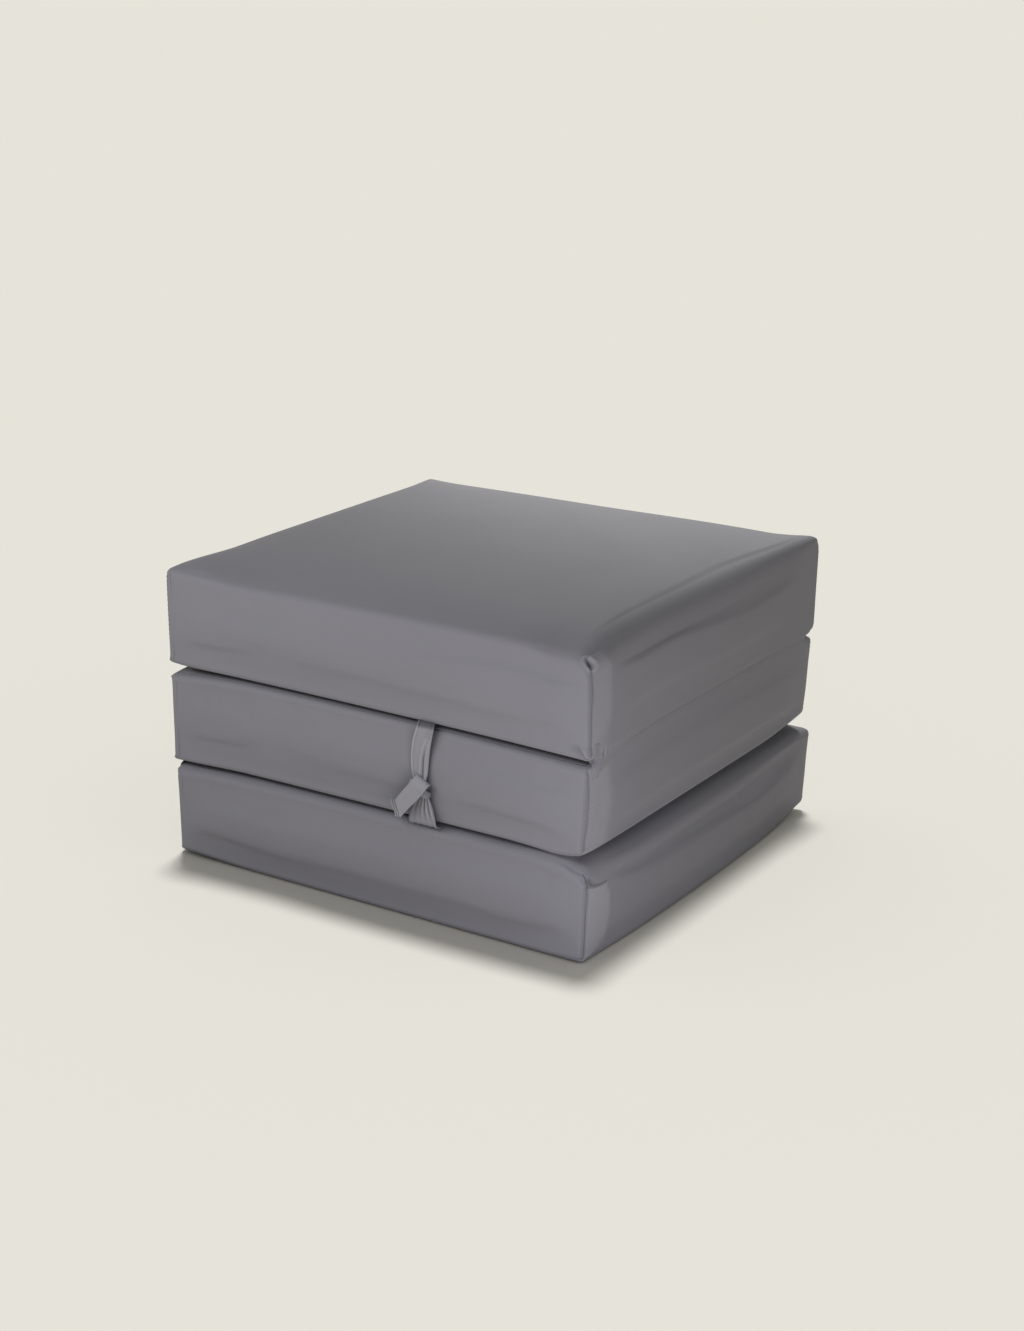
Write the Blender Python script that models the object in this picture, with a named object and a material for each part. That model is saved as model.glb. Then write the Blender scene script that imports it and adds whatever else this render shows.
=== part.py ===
# A folding foam chair bed, folded into a pile: three covered foam blocks joined by two cloth
# hinges, a zip along the back of each cover, and a pair of ties knotted over the middle block.
#
# Metres, +Z up. The origin is the middle of the bottom block's base panel, on the floor.
# The bed unfolds along X, the ties are on the front at -Y, and the zips are on the back at +Y.

import math
from collections import namedtuple
from itertools import product

import bmesh
import bpy
from mathutils import Matrix, Vector

for old in list(bpy.data.objects):
    bpy.data.objects.remove(old, do_unlink=True)

# Driving sizes of one block
BLOCK_LENGTH = 0.650            # the way the bed unfolds
BLOCK_WIDTH = 0.600             # across the sleeper
BLOCK_HEIGHT = 0.133            # base panel to sleeping face
REST_GAP = 0.0006               # between two blocks in the pile

# Cover, cut as a hood over the sleeping face and a flat base panel
COVER_THICKNESS = 0.0016
FIT_GAP = 0.0003                # between pieces that lie against each other
TOP_ROUND = 0.016               # rounding of the sleeping face that lies open on the pile
HOOD_ROUND = 0.010              # rounding of a sleeping face pressed against another
BASE_ROUND = 0.009              # rounding down to the base panel
TOP_CROWN = 0.008               # swell of the open sleeping face
FRONT_SWELL = 0.005             # belly of the front wall, midway between its seams
BACK_SWELL = 0.002              # belly of the back wall, even along the zip
SIDE_SWELL = 0.003              # belly of the two hinge walls
EDGE_DRAW_IN = 0.003            # how far the front edges pull in between their corners

# Cloth hinges
HINGE_CLEARANCE = 0.0004        # between a block's fullest point and the plane of the hinge
HINGE_TAPE_THICKNESS = 0.0012
HINGE_TAPE_REACH = 0.022        # from the fold up the wall
HINGE_END_MARGIN = 0.020        # from the end of the tape to the corner of the block

# Zip
ZIP_END_MARGIN = 0.055          # from the end of the zip to the corner of the block
ZIP_OPENING_HEIGHT = 0.016
ZIP_RELIEF = 0.0012             # how far the foam stands back behind the zip
TAPE_THICKNESS = 0.0007
BEAD_RADIUS = 0.0009            # the coil of teeth along the edge of a tape
CENTRE_GAP = 0.0018             # between the two coils
SLIDER_CLEARANCE = 0.00035
SLIDER_LENGTH = 0.011
SLIDER_WIDTH = 0.010
SLIDER_FRONT_PLATE = 0.0011
SLIDER_BACK_PLATE = 0.0009
SLIDER_LIP = 0.0009
SLIDER_CHAMFER = 0.0005
SLIDER_END_MARGIN = 0.003       # from a parked slider to the end of the zip
POST_WIDTH = 0.0012
POST_LENGTH = 0.0025
ARCH_LENGTH = 0.007
ARCH_WIDTH = 0.0022
ARCH_BAR = 0.0010
ARCH_LEG = 0.0012
ARCH_HOLE_HEIGHT = 0.0019
ARCH_CHAMFER = 0.0006
FUSE_DEPTH = 0.0001             # how far two shapes sink into each other before they are fused

# Puller
PULLER_LENGTH = 0.028
PULLER_WIDTH = 0.007
PULLER_THICKNESS = 0.0012
PULLER_BAR_RADIUS = 0.00055
PULLER_ARM_WIDTH = 0.00125
PULLER_HOLE_REACH = 0.0055
PULLER_SHOULDER = 0.0015        # length over which the arms widen to the grip

# Ties, a strap from the top block and a shorter one from the bottom block
TIE_SIDE_OFFSET = 0.094         # from the middle of the block to the upper tie's seam
TIE_WIDTH = 0.0265
TIE_THICKNESS = 0.0016
TIE_HEM_RAISE = 0.0004
TIE_HEM_WIDTH = 0.003
TIE_SEAM_ANGLE = math.radians(30)     # where the root leaves the edge of its block
TIE_SHOULDER_DROP = 0.0085      # from the gap in the pile to the fold at the tie's root
TIE_BELLY_GAP = 0.0001          # how far the root's fold lies inside the block's fullest belly
TIE_FOLD_GAP = 0.0009           # between the end of a root and the round edge of its strap
TIE_LEAN = 0.009                # how far the strap sways to the left on its way to the knot
TIE_NECK = 0.018                # the strap's width where it goes into the knot
LOWER_TIE_SIDE_OFFSET = 0.0875
LOWER_TIE_WIDTH = 0.040
LOWER_TIE_NECK = 0.010          # its width where it is gathered in under the knot's right end
LOWER_TIE_NECK_SIDE_OFFSET = 0.097
PLEAT_DEPTH = 0.0012
KNOT_SIDE_OFFSET = 0.0905       # from the middle of the block to the middle of the knot
KNOT_WIDTH = 0.030
KNOT_HEIGHT = 0.019
KNOT_DEPTH = 0.011
KNOT_ROUND = 0.005
KNOT_TILT = math.radians(20)
KNOT_HEIGHT_SHARE = 0.475       # place of the knot, as a share of the middle block's height
COLLAR_WIDTH = 0.013            # the turn of the band round the front of the knot
COLLAR_THICKNESS = 0.0032
COLLAR_PROUD = 0.0012           # how far it stands out from the knot behind it
TAIL_LENGTH = 0.0595
TAIL_WIDTH = 0.0225
TAIL_LAYER_THICKNESS = 0.0011
TAIL_LAYER_GAP = 0.0005
TAIL_LAYER_STEP = 0.0025        # how much longer each layer is than the one in front of it
TAIL_LIFT = 0.002               # how far the end of the tail stands off
TAIL_LEAN = math.radians(37.5)

EMPTY_SIZE = 0.05
SHARP_ANGLE = math.radians(40)

# Shapes of curves and grids
ROUND_STEPS = (math.tan(math.pi / 8), 1.0)     # four flats to a rounding
PLAIN_STEPS = (1.0,)                           # two flats to a rounding
LENGTH_SHARES = (-1.0, -0.5, 0.0, 0.5, 1.0)
WIDTH_SHARES = (-0.6, -0.2, 0.2, 0.6)
BEAD_POINTS = 8
BAR_POINTS = 8
GRIP_END_POINTS = 6
STRAP_POINTS = 5
LEAN_POINTS = 8
LEAN_POWER = 5                  # how soon the strap has swayed all the way
NECK_POWER = 6                  # how late it narrows to its neck
COLLAR_POINTS = 13
COLLAR_POWER = 4                # how square its bend is: 2 is an ellipse
COLLAR_END_SHARE = 0.6          # width of the collar where it goes behind the knot
TAIL_LAYERS = 3
SLIDER_TAPER_SHARES = ((-1.0, 0.76), (-0.7, 0.84), (0.1, 1.0), (0.8, 1.0), (1.0, 0.88))
ROOT_SHARES = (0.0, 0.25, 0.5, 0.75, 1.0)
ROOT_END_SHARE = 0.5            # thickness of a root's end, as a share of the tie's
BEND_DROP_SHARE = 0.12          # how far the root's bend hangs, as a share of its drop
BEND_REACH_SHARE = 0.77         # how far out that bend is, as a share of its reach
ROUND_EDGE_SHARES = ((1.0, 0.5), (0.7, 0.7))    # way back and thickness of a strap's folded edge
FLAT_SECTION_SHARES = ((-1, -1), (-1, 1), (1, 1), (1, -1))
ROUND_SECTION_SHARES = ((-1, -1), (-1, 0.1), (-0.6, 1), (0.6, 1), (1, 0.1), (1, -1))
PLEAT_SHARES = (-1.0, -0.67, -0.33, 0.0, 0.33, 0.67, 1.0)

Cover = namedtuple("Cover", "hood_round base_round crown")
HALF = Vector((BLOCK_LENGTH, BLOCK_WIDTH, BLOCK_HEIGHT)) / 2
DOWN, UP = -1, 1

PRESSED_COVER = Cover(HOOD_ROUND, BASE_ROUND, 0.0)
OPEN_COVER = Cover(TOP_ROUND, BASE_ROUND, TOP_CROWN)

# Places that follow from the sizes
hinge_x = HALF.x + SIDE_SWELL + HINGE_CLEARANCE
half_gap = REST_GAP / 2
half_zip = HALF.x - ZIP_END_MARGIN


def finish(name, colour, roughness, metallic=0.0):
    """One Principled material."""
    material = bpy.data.materials.new(name)
    material.use_nodes = True
    shader = material.node_tree.nodes["Principled BSDF"]
    shader.inputs["Base Color"].default_value = (*colour, 1.0)
    shader.inputs["Roughness"].default_value = roughness
    shader.inputs["Metallic"].default_value = metallic
    material.diffuse_color = (*colour, 1.0)
    return material


def empty(name, parent=None, location=(0.0, 0.0, 0.0), turned=False):
    """An axis or a frame to carry pieces; a turned one is upside down, half round about Y."""
    frame = bpy.data.objects.new(name, None)
    frame.empty_display_size = EMPTY_SIZE
    frame.parent = parent
    frame.location = location
    frame.rotation_euler = (0.0, math.pi if turned else 0.0, 0.0)
    bpy.context.scene.collection.objects.link(frame)
    return frame


def piece(name, mesh, look, parent):
    """One named sub-part with its own material, carried by an empty."""
    mesh.name = name
    mesh.shade_smooth()
    mesh.set_sharp_from_angle(angle=SHARP_ANGLE)
    mesh.materials.clear()
    mesh.materials.append(finish(name, *look))
    part = bpy.data.objects.new(name, mesh)
    part.parent = parent
    bpy.context.scene.collection.objects.link(part)
    return part


def to_mesh(shape):
    """A mesh from a bmesh, with its faces turned outwards."""
    bmesh.ops.recalc_face_normals(shape, faces=shape.faces)
    mesh = bpy.data.meshes.new("shape")
    shape.to_mesh(mesh)
    shape.free()
    return mesh


def loft(rings):
    """A closed solid through rings with equally many points, capped at both ends."""
    shape = bmesh.new()
    rows = [[shape.verts.new(point) for point in ring] for ring in rings]
    for low, high in zip(rows, rows[1:]):
        for here in range(len(low)):
            there = (here + 1) % len(low)
            shape.faces.new((low[here], low[there], high[there], high[here]))
    shape.faces.new(rows[0])
    shape.faces.new(rows[-1])
    return to_mesh(shape)


def fuse(meshes):
    """One closed mesh from several that sink into each other."""
    stage = bpy.context.scene.collection
    bodies = [bpy.data.objects.new("fuse", mesh) for mesh in meshes]
    for body in bodies:
        stage.objects.link(body)
    for other in bodies[1:]:
        union = bodies[0].modifiers.new("union", "BOOLEAN")
        union.operation = "UNION"
        union.solver = "EXACT"
        union.object = other
    graph = bpy.context.evaluated_depsgraph_get()
    fused = bpy.data.meshes.new_from_object(bodies[0].evaluated_get(graph))
    for body in bodies:
        bpy.data.objects.remove(body, do_unlink=True)
    return fused


# Rounded boxes. A grid covers the six sides of a box. Along each axis its stations are
# (place, end, tangent): a place between the roundings, or an end of the box with the tangent
# of the angle in the rounding there.


def stations(places, steps):
    """Stations along one axis: the low rounding, the places between, the high rounding."""
    turns = (0.0,) + steps
    low = [(0.0, DOWN, -tangent) for tangent in reversed(turns)]
    high = [(0.0, UP, tangent) for tangent in turns]
    return low + [(place, 0, 0.0) for place in places] + high


def side_cells(grid):
    """Each cell on the six sides of a grid: its side, and the loop of its corners, facing out.

    The loop starts at an end of the diagonal that runs out from the middle of the side, so
    that skins at unlike depths fold alike.
    """
    for axis in range(3):
        across, up = (axis + 1) % 3, (axis + 2) % 3
        columns, rows = len(grid[across]) - 1, len(grid[up]) - 1
        for end, last in ((DOWN, 0), (UP, len(grid[axis]) - 1)):
            for column, row in product(range(columns), range(rows)):
                loop = []
                for step_across, step_up in ((0, 0), (1, 0), (1, 1), (0, 1)):
                    corner = [last, last, last]
                    corner[across] = column + step_across
                    corner[up] = row + step_up
                    loop.append(tuple(corner))
                if (2 * column + 1 - columns) * (2 * row + 1 - rows) < 0:
                    loop = loop[1:] + loop[:1]
                if end == DOWN:
                    loop = [loop[0]] + loop[:0:-1]
                yield (axis, end), loop


def halves(loop):
    """The two triangles of a four-sided loop, split from its first corner."""
    return [loop[:3], [loop[0], loop[2], loop[3]]]


def skin_mesh(grid, place, depths, is_open=None):
    """A closed solid under one skin or, with two depths, the wall between two skins.

    place gives the point for a corner's three stations at a depth. Cells for which is_open
    holds are left out, and the wall is closed round the edge of that opening.
    """
    loops = []
    for side, loop in side_cells(grid):
        spots = [tuple(line[index] for line, index in zip(grid, corner)) for corner in loop]
        if is_open is None or not is_open(side, spots):
            loops.append(loop)
    corners = sorted({corner for loop in loops for corner in loop})
    number = {corner: index for index, corner in enumerate(corners)}
    spots = [tuple(line[index] for line, index in zip(grid, corner)) for corner in corners]
    points = [place(spot, depth) for depth in depths for spot in spots]
    outside = [[number[corner] for corner in loop] for loop in loops]
    faces = [half for loop in outside for half in halves(loop)]
    if len(depths) > 1:
        inner = len(corners)
        faces += [[index + inner for index in reversed(half)] for half in faces]
        edges = {edge for loop in outside for edge in zip(loop, loop[1:] + loop[:1])}
        rim = sorted(edge for edge in edges if edge[::-1] not in edges)
        faces += [(end, start, start + inner, end + inner) for start, end in rim]
    mesh = bpy.data.meshes.new("skin")
    mesh.from_pydata([tuple(point) for point in points], [], faces)
    return mesh


# The covered block, in its own frame: base panel down at z = 0, sleeping face up.


def cover_point(cover, spot, depth):
    """A point of a block's cover, at a depth under its outer skin.

    The rounding's centre lies inside the box by its radius, which grows evenly from the base
    panel to the sleeping face, and the skin lies a radius out from there. Then each wall
    swells by its belly, one minus the square of the way from its middle to its edge.
    """
    place_z, end_z, _ = spot[2]
    level = end_z if end_z else place_z / HALF.z
    radius = cover.base_round + (cover.hood_round - cover.base_round) * (level + 1) / 2
    flat = HALF - Vector((radius, radius, radius))
    centre = Vector([end * reach if end else place for (place, end, _), reach in zip(spot, flat)])
    out = Vector([tangent for _, _, tangent in spot]).normalized()
    share = Vector([along / reach for along, reach in zip(centre, flat)])
    belly = 1 - share.z ** 2
    along_x = 1 - share.x ** 2
    along_y = 1 - share.y ** 2
    front = (FRONT_SWELL * belly - EDGE_DRAW_IN * share.z ** 2) * along_x
    back = 0.0 if spot[0][1] else BACK_SWELL * belly
    point = centre + out * (radius - depth)
    point.x += out.x * SIDE_SWELL * belly * along_y
    point.y += out.y * (front if out.y < 0 else back)
    point.z += max(out.z, 0.0) * cover.crown * along_x * along_y + HALF.z
    return point


def block_grid(steps):
    """Stations of a block, with the edges of the zip opening among them."""
    lengths = [share * half_zip for share in LENGTH_SHARES]
    widths = [share * HALF.y for share in WIDTH_SHARES]
    heights = [-ZIP_OPENING_HEIGHT / 2, ZIP_OPENING_HEIGHT / 2]
    return [stations(places, steps) for places in (lengths, widths, heights)]


def is_cover_opening(side, spots):
    """Whether a cell of the hood is left open, for the base panel or for the zip."""
    if side == (2, DOWN):
        return all(x[2] == 0 and y[2] == 0 for x, y, _ in spots)
    if side == (1, UP):
        return all(x[1] == 0 and z[1] == 0 for x, _, z in spots)
    return False


def hood_mesh(cover):
    """The hood: sleeping face and four walls in one wall of cloth, turned under at the base."""
    depths = (0.0, COVER_THICKNESS)
    return skin_mesh(block_grid(ROUND_STEPS), lambda spot, depth: cover_point(cover, spot, depth),
                     depths, is_cover_opening)


def foam_mesh(cover):
    """The foam: the inside of the hood, standing back a little behind the zip."""
    def place(spot, depth):
        point = cover_point(cover, spot, depth)
        out = Vector([tangent for _, _, tangent in spot]).normalized()
        point.y -= max(out.y, 0.0) * ZIP_RELIEF
        return point
    return skin_mesh(block_grid(PLAIN_STEPS), place, (COVER_THICKNESS + FIT_GAP,))


def base_panel_mesh(cover):
    """The base panel: a flat sheet that fills the hood's opening from seam to seam."""
    half_x = HALF.x - cover.base_round - FIT_GAP
    half_y = HALF.y - cover.base_round - FIT_GAP
    outline = [(-half_x, -half_y), (half_x, -half_y), (half_x, half_y), (-half_x, half_y)]
    return loft([[(x, y, z) for x, y in outline] for z in (0.0, COVER_THICKNESS)])


# The zip, in the frame of its opening: X along it, Z across it, y = 0 at the cover's outer face.

bead_front = BEAD_RADIUS - TAPE_THICKNESS / 2
slider_inner = bead_front + SLIDER_CLEARANCE
slider_outer = slider_inner + SLIDER_FRONT_PLATE
back_inner = -TAPE_THICKNESS - slider_inner
back_outer = back_inner - SLIDER_BACK_PLATE
puller_axis_y = slider_outer + ARCH_HOLE_HEIGHT / 2
slider_start = -half_zip + SLIDER_LENGTH / 2 + SLIDER_END_MARGIN


def tape_mesh(side):
    """One half of the zip: a flat tape with its coil of teeth as a bead along the inner edge."""
    half = TAPE_THICKNESS / 2
    first = math.asin(half / BEAD_RADIUS)
    sweep = 2 * (math.pi - first)
    bead_z = CENTRE_GAP / 2 + BEAD_RADIUS
    edge = ZIP_OPENING_HEIGHT / 2 - FIT_GAP
    section = [(0.0, edge)]
    for step in range(BEAD_POINTS + 1):
        angle = first + sweep * step / BEAD_POINTS
        section.append((-half + BEAD_RADIUS * math.sin(angle), bead_z + BEAD_RADIUS * math.cos(angle)))
    section.append((-TAPE_THICKNESS, edge))
    reach = half_zip - FIT_GAP
    return loft([[(x, y, side * z) for y, z in section] for x in (-reach, reach)])


def slider_mesh():
    """The slider: two lipped plates tapered to the closed end, a post, and an arch."""
    def plate(inner, outer, lip, chamfer):
        half = SLIDER_WIDTH / 2
        throat = half - SLIDER_LIP
        side = [(lip, half), (outer - chamfer, half), (outer, half - abs(chamfer))]
        section = side + [(y, -z) for y, z in reversed(side)]
        section += [(lip, -throat), (inner, -throat), (inner, throat), (lip, throat)]
        return loft([[(share * SLIDER_LENGTH / 2, y, z * narrow) for y, z in section]
                     for share, narrow in SLIDER_TAPER_SHARES])

    front = plate(slider_inner, slider_outer, SLIDER_CLEARANCE, SLIDER_CHAMFER)
    back = plate(back_inner, back_outer, -TAPE_THICKNESS - SLIDER_CLEARANCE, -SLIDER_CHAMFER)
    post_end = SLIDER_LENGTH / 2 - SLIDER_CHAMFER
    post_box = [(x, z) for x, z in ((post_end - POST_LENGTH, -POST_WIDTH / 2), (post_end, -POST_WIDTH / 2),
                                    (post_end, POST_WIDTH / 2), (post_end - POST_LENGTH, POST_WIDTH / 2))]
    post = loft([[(x, y, z) for x, z in post_box]
                 for y in (back_inner - FUSE_DEPTH, slider_inner + FUSE_DEPTH)])
    half = ARCH_LENGTH / 2
    foot = slider_outer - FUSE_DEPTH
    hole_top = slider_outer + ARCH_HOLE_HEIGHT
    top = hole_top + ARCH_BAR
    right = [(half - ARCH_LEG, hole_top), (half - ARCH_LEG, foot), (half, foot),
             (half, top - ARCH_CHAMFER), (half - ARCH_CHAMFER, top)]
    outline = right + [(-x, y) for x, y in reversed(right)]
    arch = loft([[(x, y, z) for x, y in outline] for z in (-ARCH_WIDTH / 2, ARCH_WIDTH / 2)])
    return fuse([front, back, post, arch])


def puller_mesh():
    """The puller, with its crossbar on the origin: two arms past the arch and a rounded grip."""
    arm_in = ARCH_WIDTH / 2 + SLIDER_CLEARANCE
    arm_out = arm_in + PULLER_ARM_WIDTH
    start = PULLER_BAR_RADIUS / 2
    half = PULLER_WIDTH / 2
    side = [(start, arm_in), (start, arm_out), (PULLER_HOLE_REACH, arm_out),
            (PULLER_HOLE_REACH + PULLER_SHOULDER, half)]
    for step in range(GRIP_END_POINTS):
        angle = math.pi / 2 * (1 - step / GRIP_END_POINTS)
        side.append((PULLER_LENGTH - half + half * math.cos(angle), half * math.sin(angle)))
    outline = side + [(PULLER_LENGTH, 0.0)] + [(x, -z) for x, z in reversed(side)]
    outline += [(PULLER_HOLE_REACH, -arm_in), (PULLER_HOLE_REACH, arm_in)]
    grip = loft([[(x, y, z) for x, z in outline]
                 for y in (-PULLER_THICKNESS / 2, PULLER_THICKNESS / 2)])
    turns = [2 * math.pi * (step + 0.5) / BAR_POINTS for step in range(BAR_POINTS)]
    ring = [(PULLER_BAR_RADIUS * math.cos(turn), PULLER_BAR_RADIUS * math.sin(turn)) for turn in turns]
    reach = arm_out - FUSE_DEPTH
    bar = loft([[(x, y, z) for x, y in ring] for z in (-reach, reach)])
    return fuse([grip, bar])


# Cloth hinges. One strip of cloth joins two blocks; each block carries the leaf on its own side.


def hinge_leaf_mesh(cover, side, level):
    """The leaf on one wall, from the fold at the block's edge to its seam on the wall."""
    edge_z = BLOCK_HEIGHT if level == UP else 0.0
    radius = cover.hood_round if level == UP else cover.base_round
    climb = (HINGE_TAPE_REACH - radius) / (HALF.z - radius - ZIP_OPENING_HEIGHT / 2)
    wall = HALF.x + SIDE_SWELL * max(climb, 0.0) + FIT_GAP
    fold = HALF.x + SIDE_SWELL - HINGE_TAPE_THICKNESS
    seam_z = edge_z - level * HINGE_TAPE_REACH
    section = [(fold, edge_z), (fold + HINGE_TAPE_THICKNESS, edge_z),
               (wall + HINGE_TAPE_THICKNESS, seam_z), (wall, seam_z)]
    reach = HALF.y - HINGE_END_MARGIN
    return loft([[(side * x, y, z) for x, z in section] for y in (-reach, reach)])


# Ties. Each has a root sewn under the edge of its block, and a strap that folds at the root's end.

tie_axis_y = -(HALF.y + FRONT_SWELL - TIE_BELLY_GAP)
root_clearance = TIE_THICKNESS / 2 + TIE_FOLD_GAP
knot_gap_y = -(HALF.y + FRONT_SWELL + FIT_GAP)


def ribbon(rows, section_shares=FLAT_SECTION_SHARES):
    """A flat strap through rows of centre, direction across, direction out, width and thickness."""
    rings = []
    for centre, across, out, width, thickness in rows:
        rings.append([centre + across * (a * width / 2) + out * (b * thickness / 2)
                      for a, b in section_shares])
    return loft(rings)


def hemmed_section(width, thickness):
    """Section of a hemmed strap: a raised hem along each side of its outer face."""
    hem = 1 - 2 * TIE_HEM_WIDTH / width
    slope = 1 - 2 * (TIE_HEM_WIDTH + TIE_HEM_RAISE) / width
    raised = 1 + 2 * TIE_HEM_RAISE / thickness
    right = [(slope, 1), (hem, raised), (1, raised), (1, -1)]
    return right + [(-a, b) for a, b in reversed(right)]


def tie_root_mesh(cover, level, width, side_offset):
    """The sewn root, in its block's frame: from under the edge, round to the strap's fold.

    level says which edge of the block carries it, and the root leaves the block that way.
    """
    radius = cover.hood_round if level == UP else cover.base_round
    edge_z = BLOCK_HEIGHT if level == UP else 0.0
    share = side_offset / (HALF.x - radius)
    drawn = EDGE_DRAW_IN * (1 - share ** 2)
    off = radius + FIT_GAP + TIE_THICKNESS / 2
    seam = Vector((0.0, -(HALF.y - radius) - (off - drawn) * math.sin(TIE_SEAM_ANGLE),
                   off * math.cos(TIE_SEAM_ANGLE) - radius))
    fold = Vector((0.0, tie_axis_y, TIE_SHOULDER_DROP))
    bend = Vector((0.0, seam.y + (fold.y - seam.y) * BEND_REACH_SHARE, fold.z * BEND_DROP_SHARE))
    rows = []
    for t in ROOT_SHARES:
        point = seam * (1 - t) ** 2 + bend * 2 * t * (1 - t) + fold * t ** 2
        along = ((bend - seam) * (1 - t) + (fold - bend) * t).normalized()
        thickness = TIE_THICKNESS
        if t == 1.0:
            point -= along * root_clearance
            thickness *= ROOT_END_SHARE
        out = Vector((0.0, -along.z, along.y))
        rows.append([Vector((side_offset, point.y, edge_z + level * point.z)),
                     Vector((1.0, 0.0, 0.0)), Vector((0.0, out.y, level * out.z)), width, thickness])
    return ribbon(rows)


def fold_rows(direction, out, width):
    """The first rows of a strap, closing to a round edge on its fold."""
    back = -direction * TIE_THICKNESS / 2
    return [[back * way, Vector((1.0, 0.0, 0.0)), out, width, TIE_THICKNESS * share]
            for way, share in ROUND_EDGE_SHARES]


knot_z = BLOCK_HEIGHT + REST_GAP + BLOCK_HEIGHT * KNOT_HEIGHT_SHARE
upper_fold_z = 2 * (BLOCK_HEIGHT + REST_GAP) - TIE_SHOULDER_DROP
lower_fold_z = BLOCK_HEIGHT + TIE_SHOULDER_DROP
knot_drop = upper_fold_z - knot_z
knot_lowest = (((KNOT_WIDTH / 2 - KNOT_ROUND) * math.sin(KNOT_TILT)
                + (KNOT_HEIGHT / 2 - KNOT_ROUND) * math.cos(KNOT_TILT)) + KNOT_ROUND)
tail_gap_y = knot_gap_y - TIE_THICKNESS - PLEAT_DEPTH - FIT_GAP


def knot_mesh(centre):
    """The knot: a soft lump, wider than it is high, tilted down to the right."""
    half = Vector((KNOT_WIDTH, KNOT_DEPTH, KNOT_HEIGHT)) / 2
    flat = half - Vector((KNOT_ROUND, KNOT_ROUND, KNOT_ROUND))
    turn = Matrix.Rotation(KNOT_TILT, 3, "Y")

    def place(spot, depth):
        inner = Vector([end * reach for (_, end, _), reach in zip(spot, flat)])
        out = Vector([tangent for _, _, tangent in spot]).normalized()
        return centre + turn @ (inner + out * (KNOT_ROUND - depth))
    return skin_mesh([stations((), ROUND_STEPS)] * 3, place, (0.0,))


def collar_mesh(centre):
    """The turn of the band that holds the knot: half a squared ellipse round its front, tilted as it is."""
    turn = Matrix.Rotation(KNOT_TILT, 3, "Y")
    reach_x = KNOT_WIDTH / 2 + COLLAR_PROUD - COLLAR_THICKNESS / 2
    reach_y = KNOT_DEPTH / 2 + COLLAR_PROUD - COLLAR_THICKNESS / 2
    rows = []
    for step in range(COLLAR_POINTS):
        angle = math.pi * step / (COLLAR_POINTS - 1)
        along, forward = math.cos(angle), math.sin(angle)
        x = -reach_x * math.copysign(abs(along) ** (2 / COLLAR_POWER), along)
        y = -reach_y * abs(forward) ** (2 / COLLAR_POWER)
        place = Vector((x, y, 0.0))
        slope = 2 - 2 / COLLAR_POWER
        steep = math.copysign(abs(along) ** slope, along)
        out = Vector((-steep / reach_x, -abs(forward) ** slope / reach_y, 0.0)).normalized()
        width = COLLAR_WIDTH * (COLLAR_END_SHARE + (1 - COLLAR_END_SHARE) * forward)
        rows.append([centre + turn @ place, turn @ Vector((0.0, 0.0, 1.0)), turn @ out, width, COLLAR_THICKNESS])
    return ribbon(rows, ROUND_SECTION_SHARES)


def tail_mesh(start, layer):
    """One layer of the doubled free end, counted from the front one, which is the shortest."""
    out = Vector((0.0, -1.0, 0.0))
    lean = Vector((-math.sin(TAIL_LEAN), 0.0, -math.cos(TAIL_LEAN)))
    side = out.cross(lean)
    back_y = tail_gap_y - tie_axis_y
    stand = (TAIL_LAYERS - 1 - layer) * (TAIL_LAYER_THICKNESS + TAIL_LAYER_GAP) + TAIL_LAYER_THICKNESS / 2
    length = TAIL_LENGTH + layer * TAIL_LAYER_STEP
    rows = []
    for step in range(STRAP_POINTS):
        t = step / (STRAP_POINTS - 1)
        centre = Vector((start.x, back_y, start.z)) + lean * length * t + out * (stand + TAIL_LIFT * t ** 2)
        rows.append([centre, side, out, TAIL_WIDTH, TAIL_LAYER_THICKNESS])
    section = FLAT_SECTION_SHARES if layer else hemmed_section(TAIL_WIDTH, TAIL_LAYER_THICKNESS)
    return ribbon(rows, section)


def upper_tie_mesh():
    """The upper tie, hanging from its fold: a strap, the knot with its collar, and the tail's layers."""
    out = Vector((0.0, -1.0, 0.0))
    inset = knot_gap_y - TIE_THICKNESS / 2 - tie_axis_y
    rows = fold_rows(Vector((0.0, 0.0, -1.0)), out, TIE_WIDTH)
    for step in range(LEAN_POINTS):
        t = step / (LEAN_POINTS - 1)
        centre = Vector((-TIE_LEAN * (1 - (1 - t) ** LEAN_POWER), inset * t, -knot_drop * t))
        width = TIE_WIDTH + (TIE_NECK - TIE_WIDTH) * t ** NECK_POWER
        rows.append([centre, Vector((1.0, 0.0, 0.0)), out, width, TIE_THICKNESS])
    strap = ribbon(rows, hemmed_section(TIE_WIDTH, TIE_THICKNESS))
    knot_x = KNOT_SIDE_OFFSET - TIE_SIDE_OFFSET
    knot_centre = Vector((knot_x, knot_gap_y - KNOT_DEPTH / 2 - tie_axis_y, -knot_drop))
    tails = [tail_mesh(knot_centre, layer) for layer in range(TAIL_LAYERS)]
    return fuse([knot_mesh(knot_centre), collar_mesh(knot_centre), strap] + tails)


def pleated_ring(centre, width, thickness, pleat):
    """A section with every other point folded outwards by the pleat."""
    back, face = [], []
    for index, share in enumerate(PLEAT_SHARES):
        fold = pleat * (index % 2)
        back.append(centre + Vector((share * width / 2, thickness / 2 - fold, 0.0)))
        face.append(centre + Vector((share * width / 2, -thickness / 2 - fold, 0.0)))
    return back + face[::-1]


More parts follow.
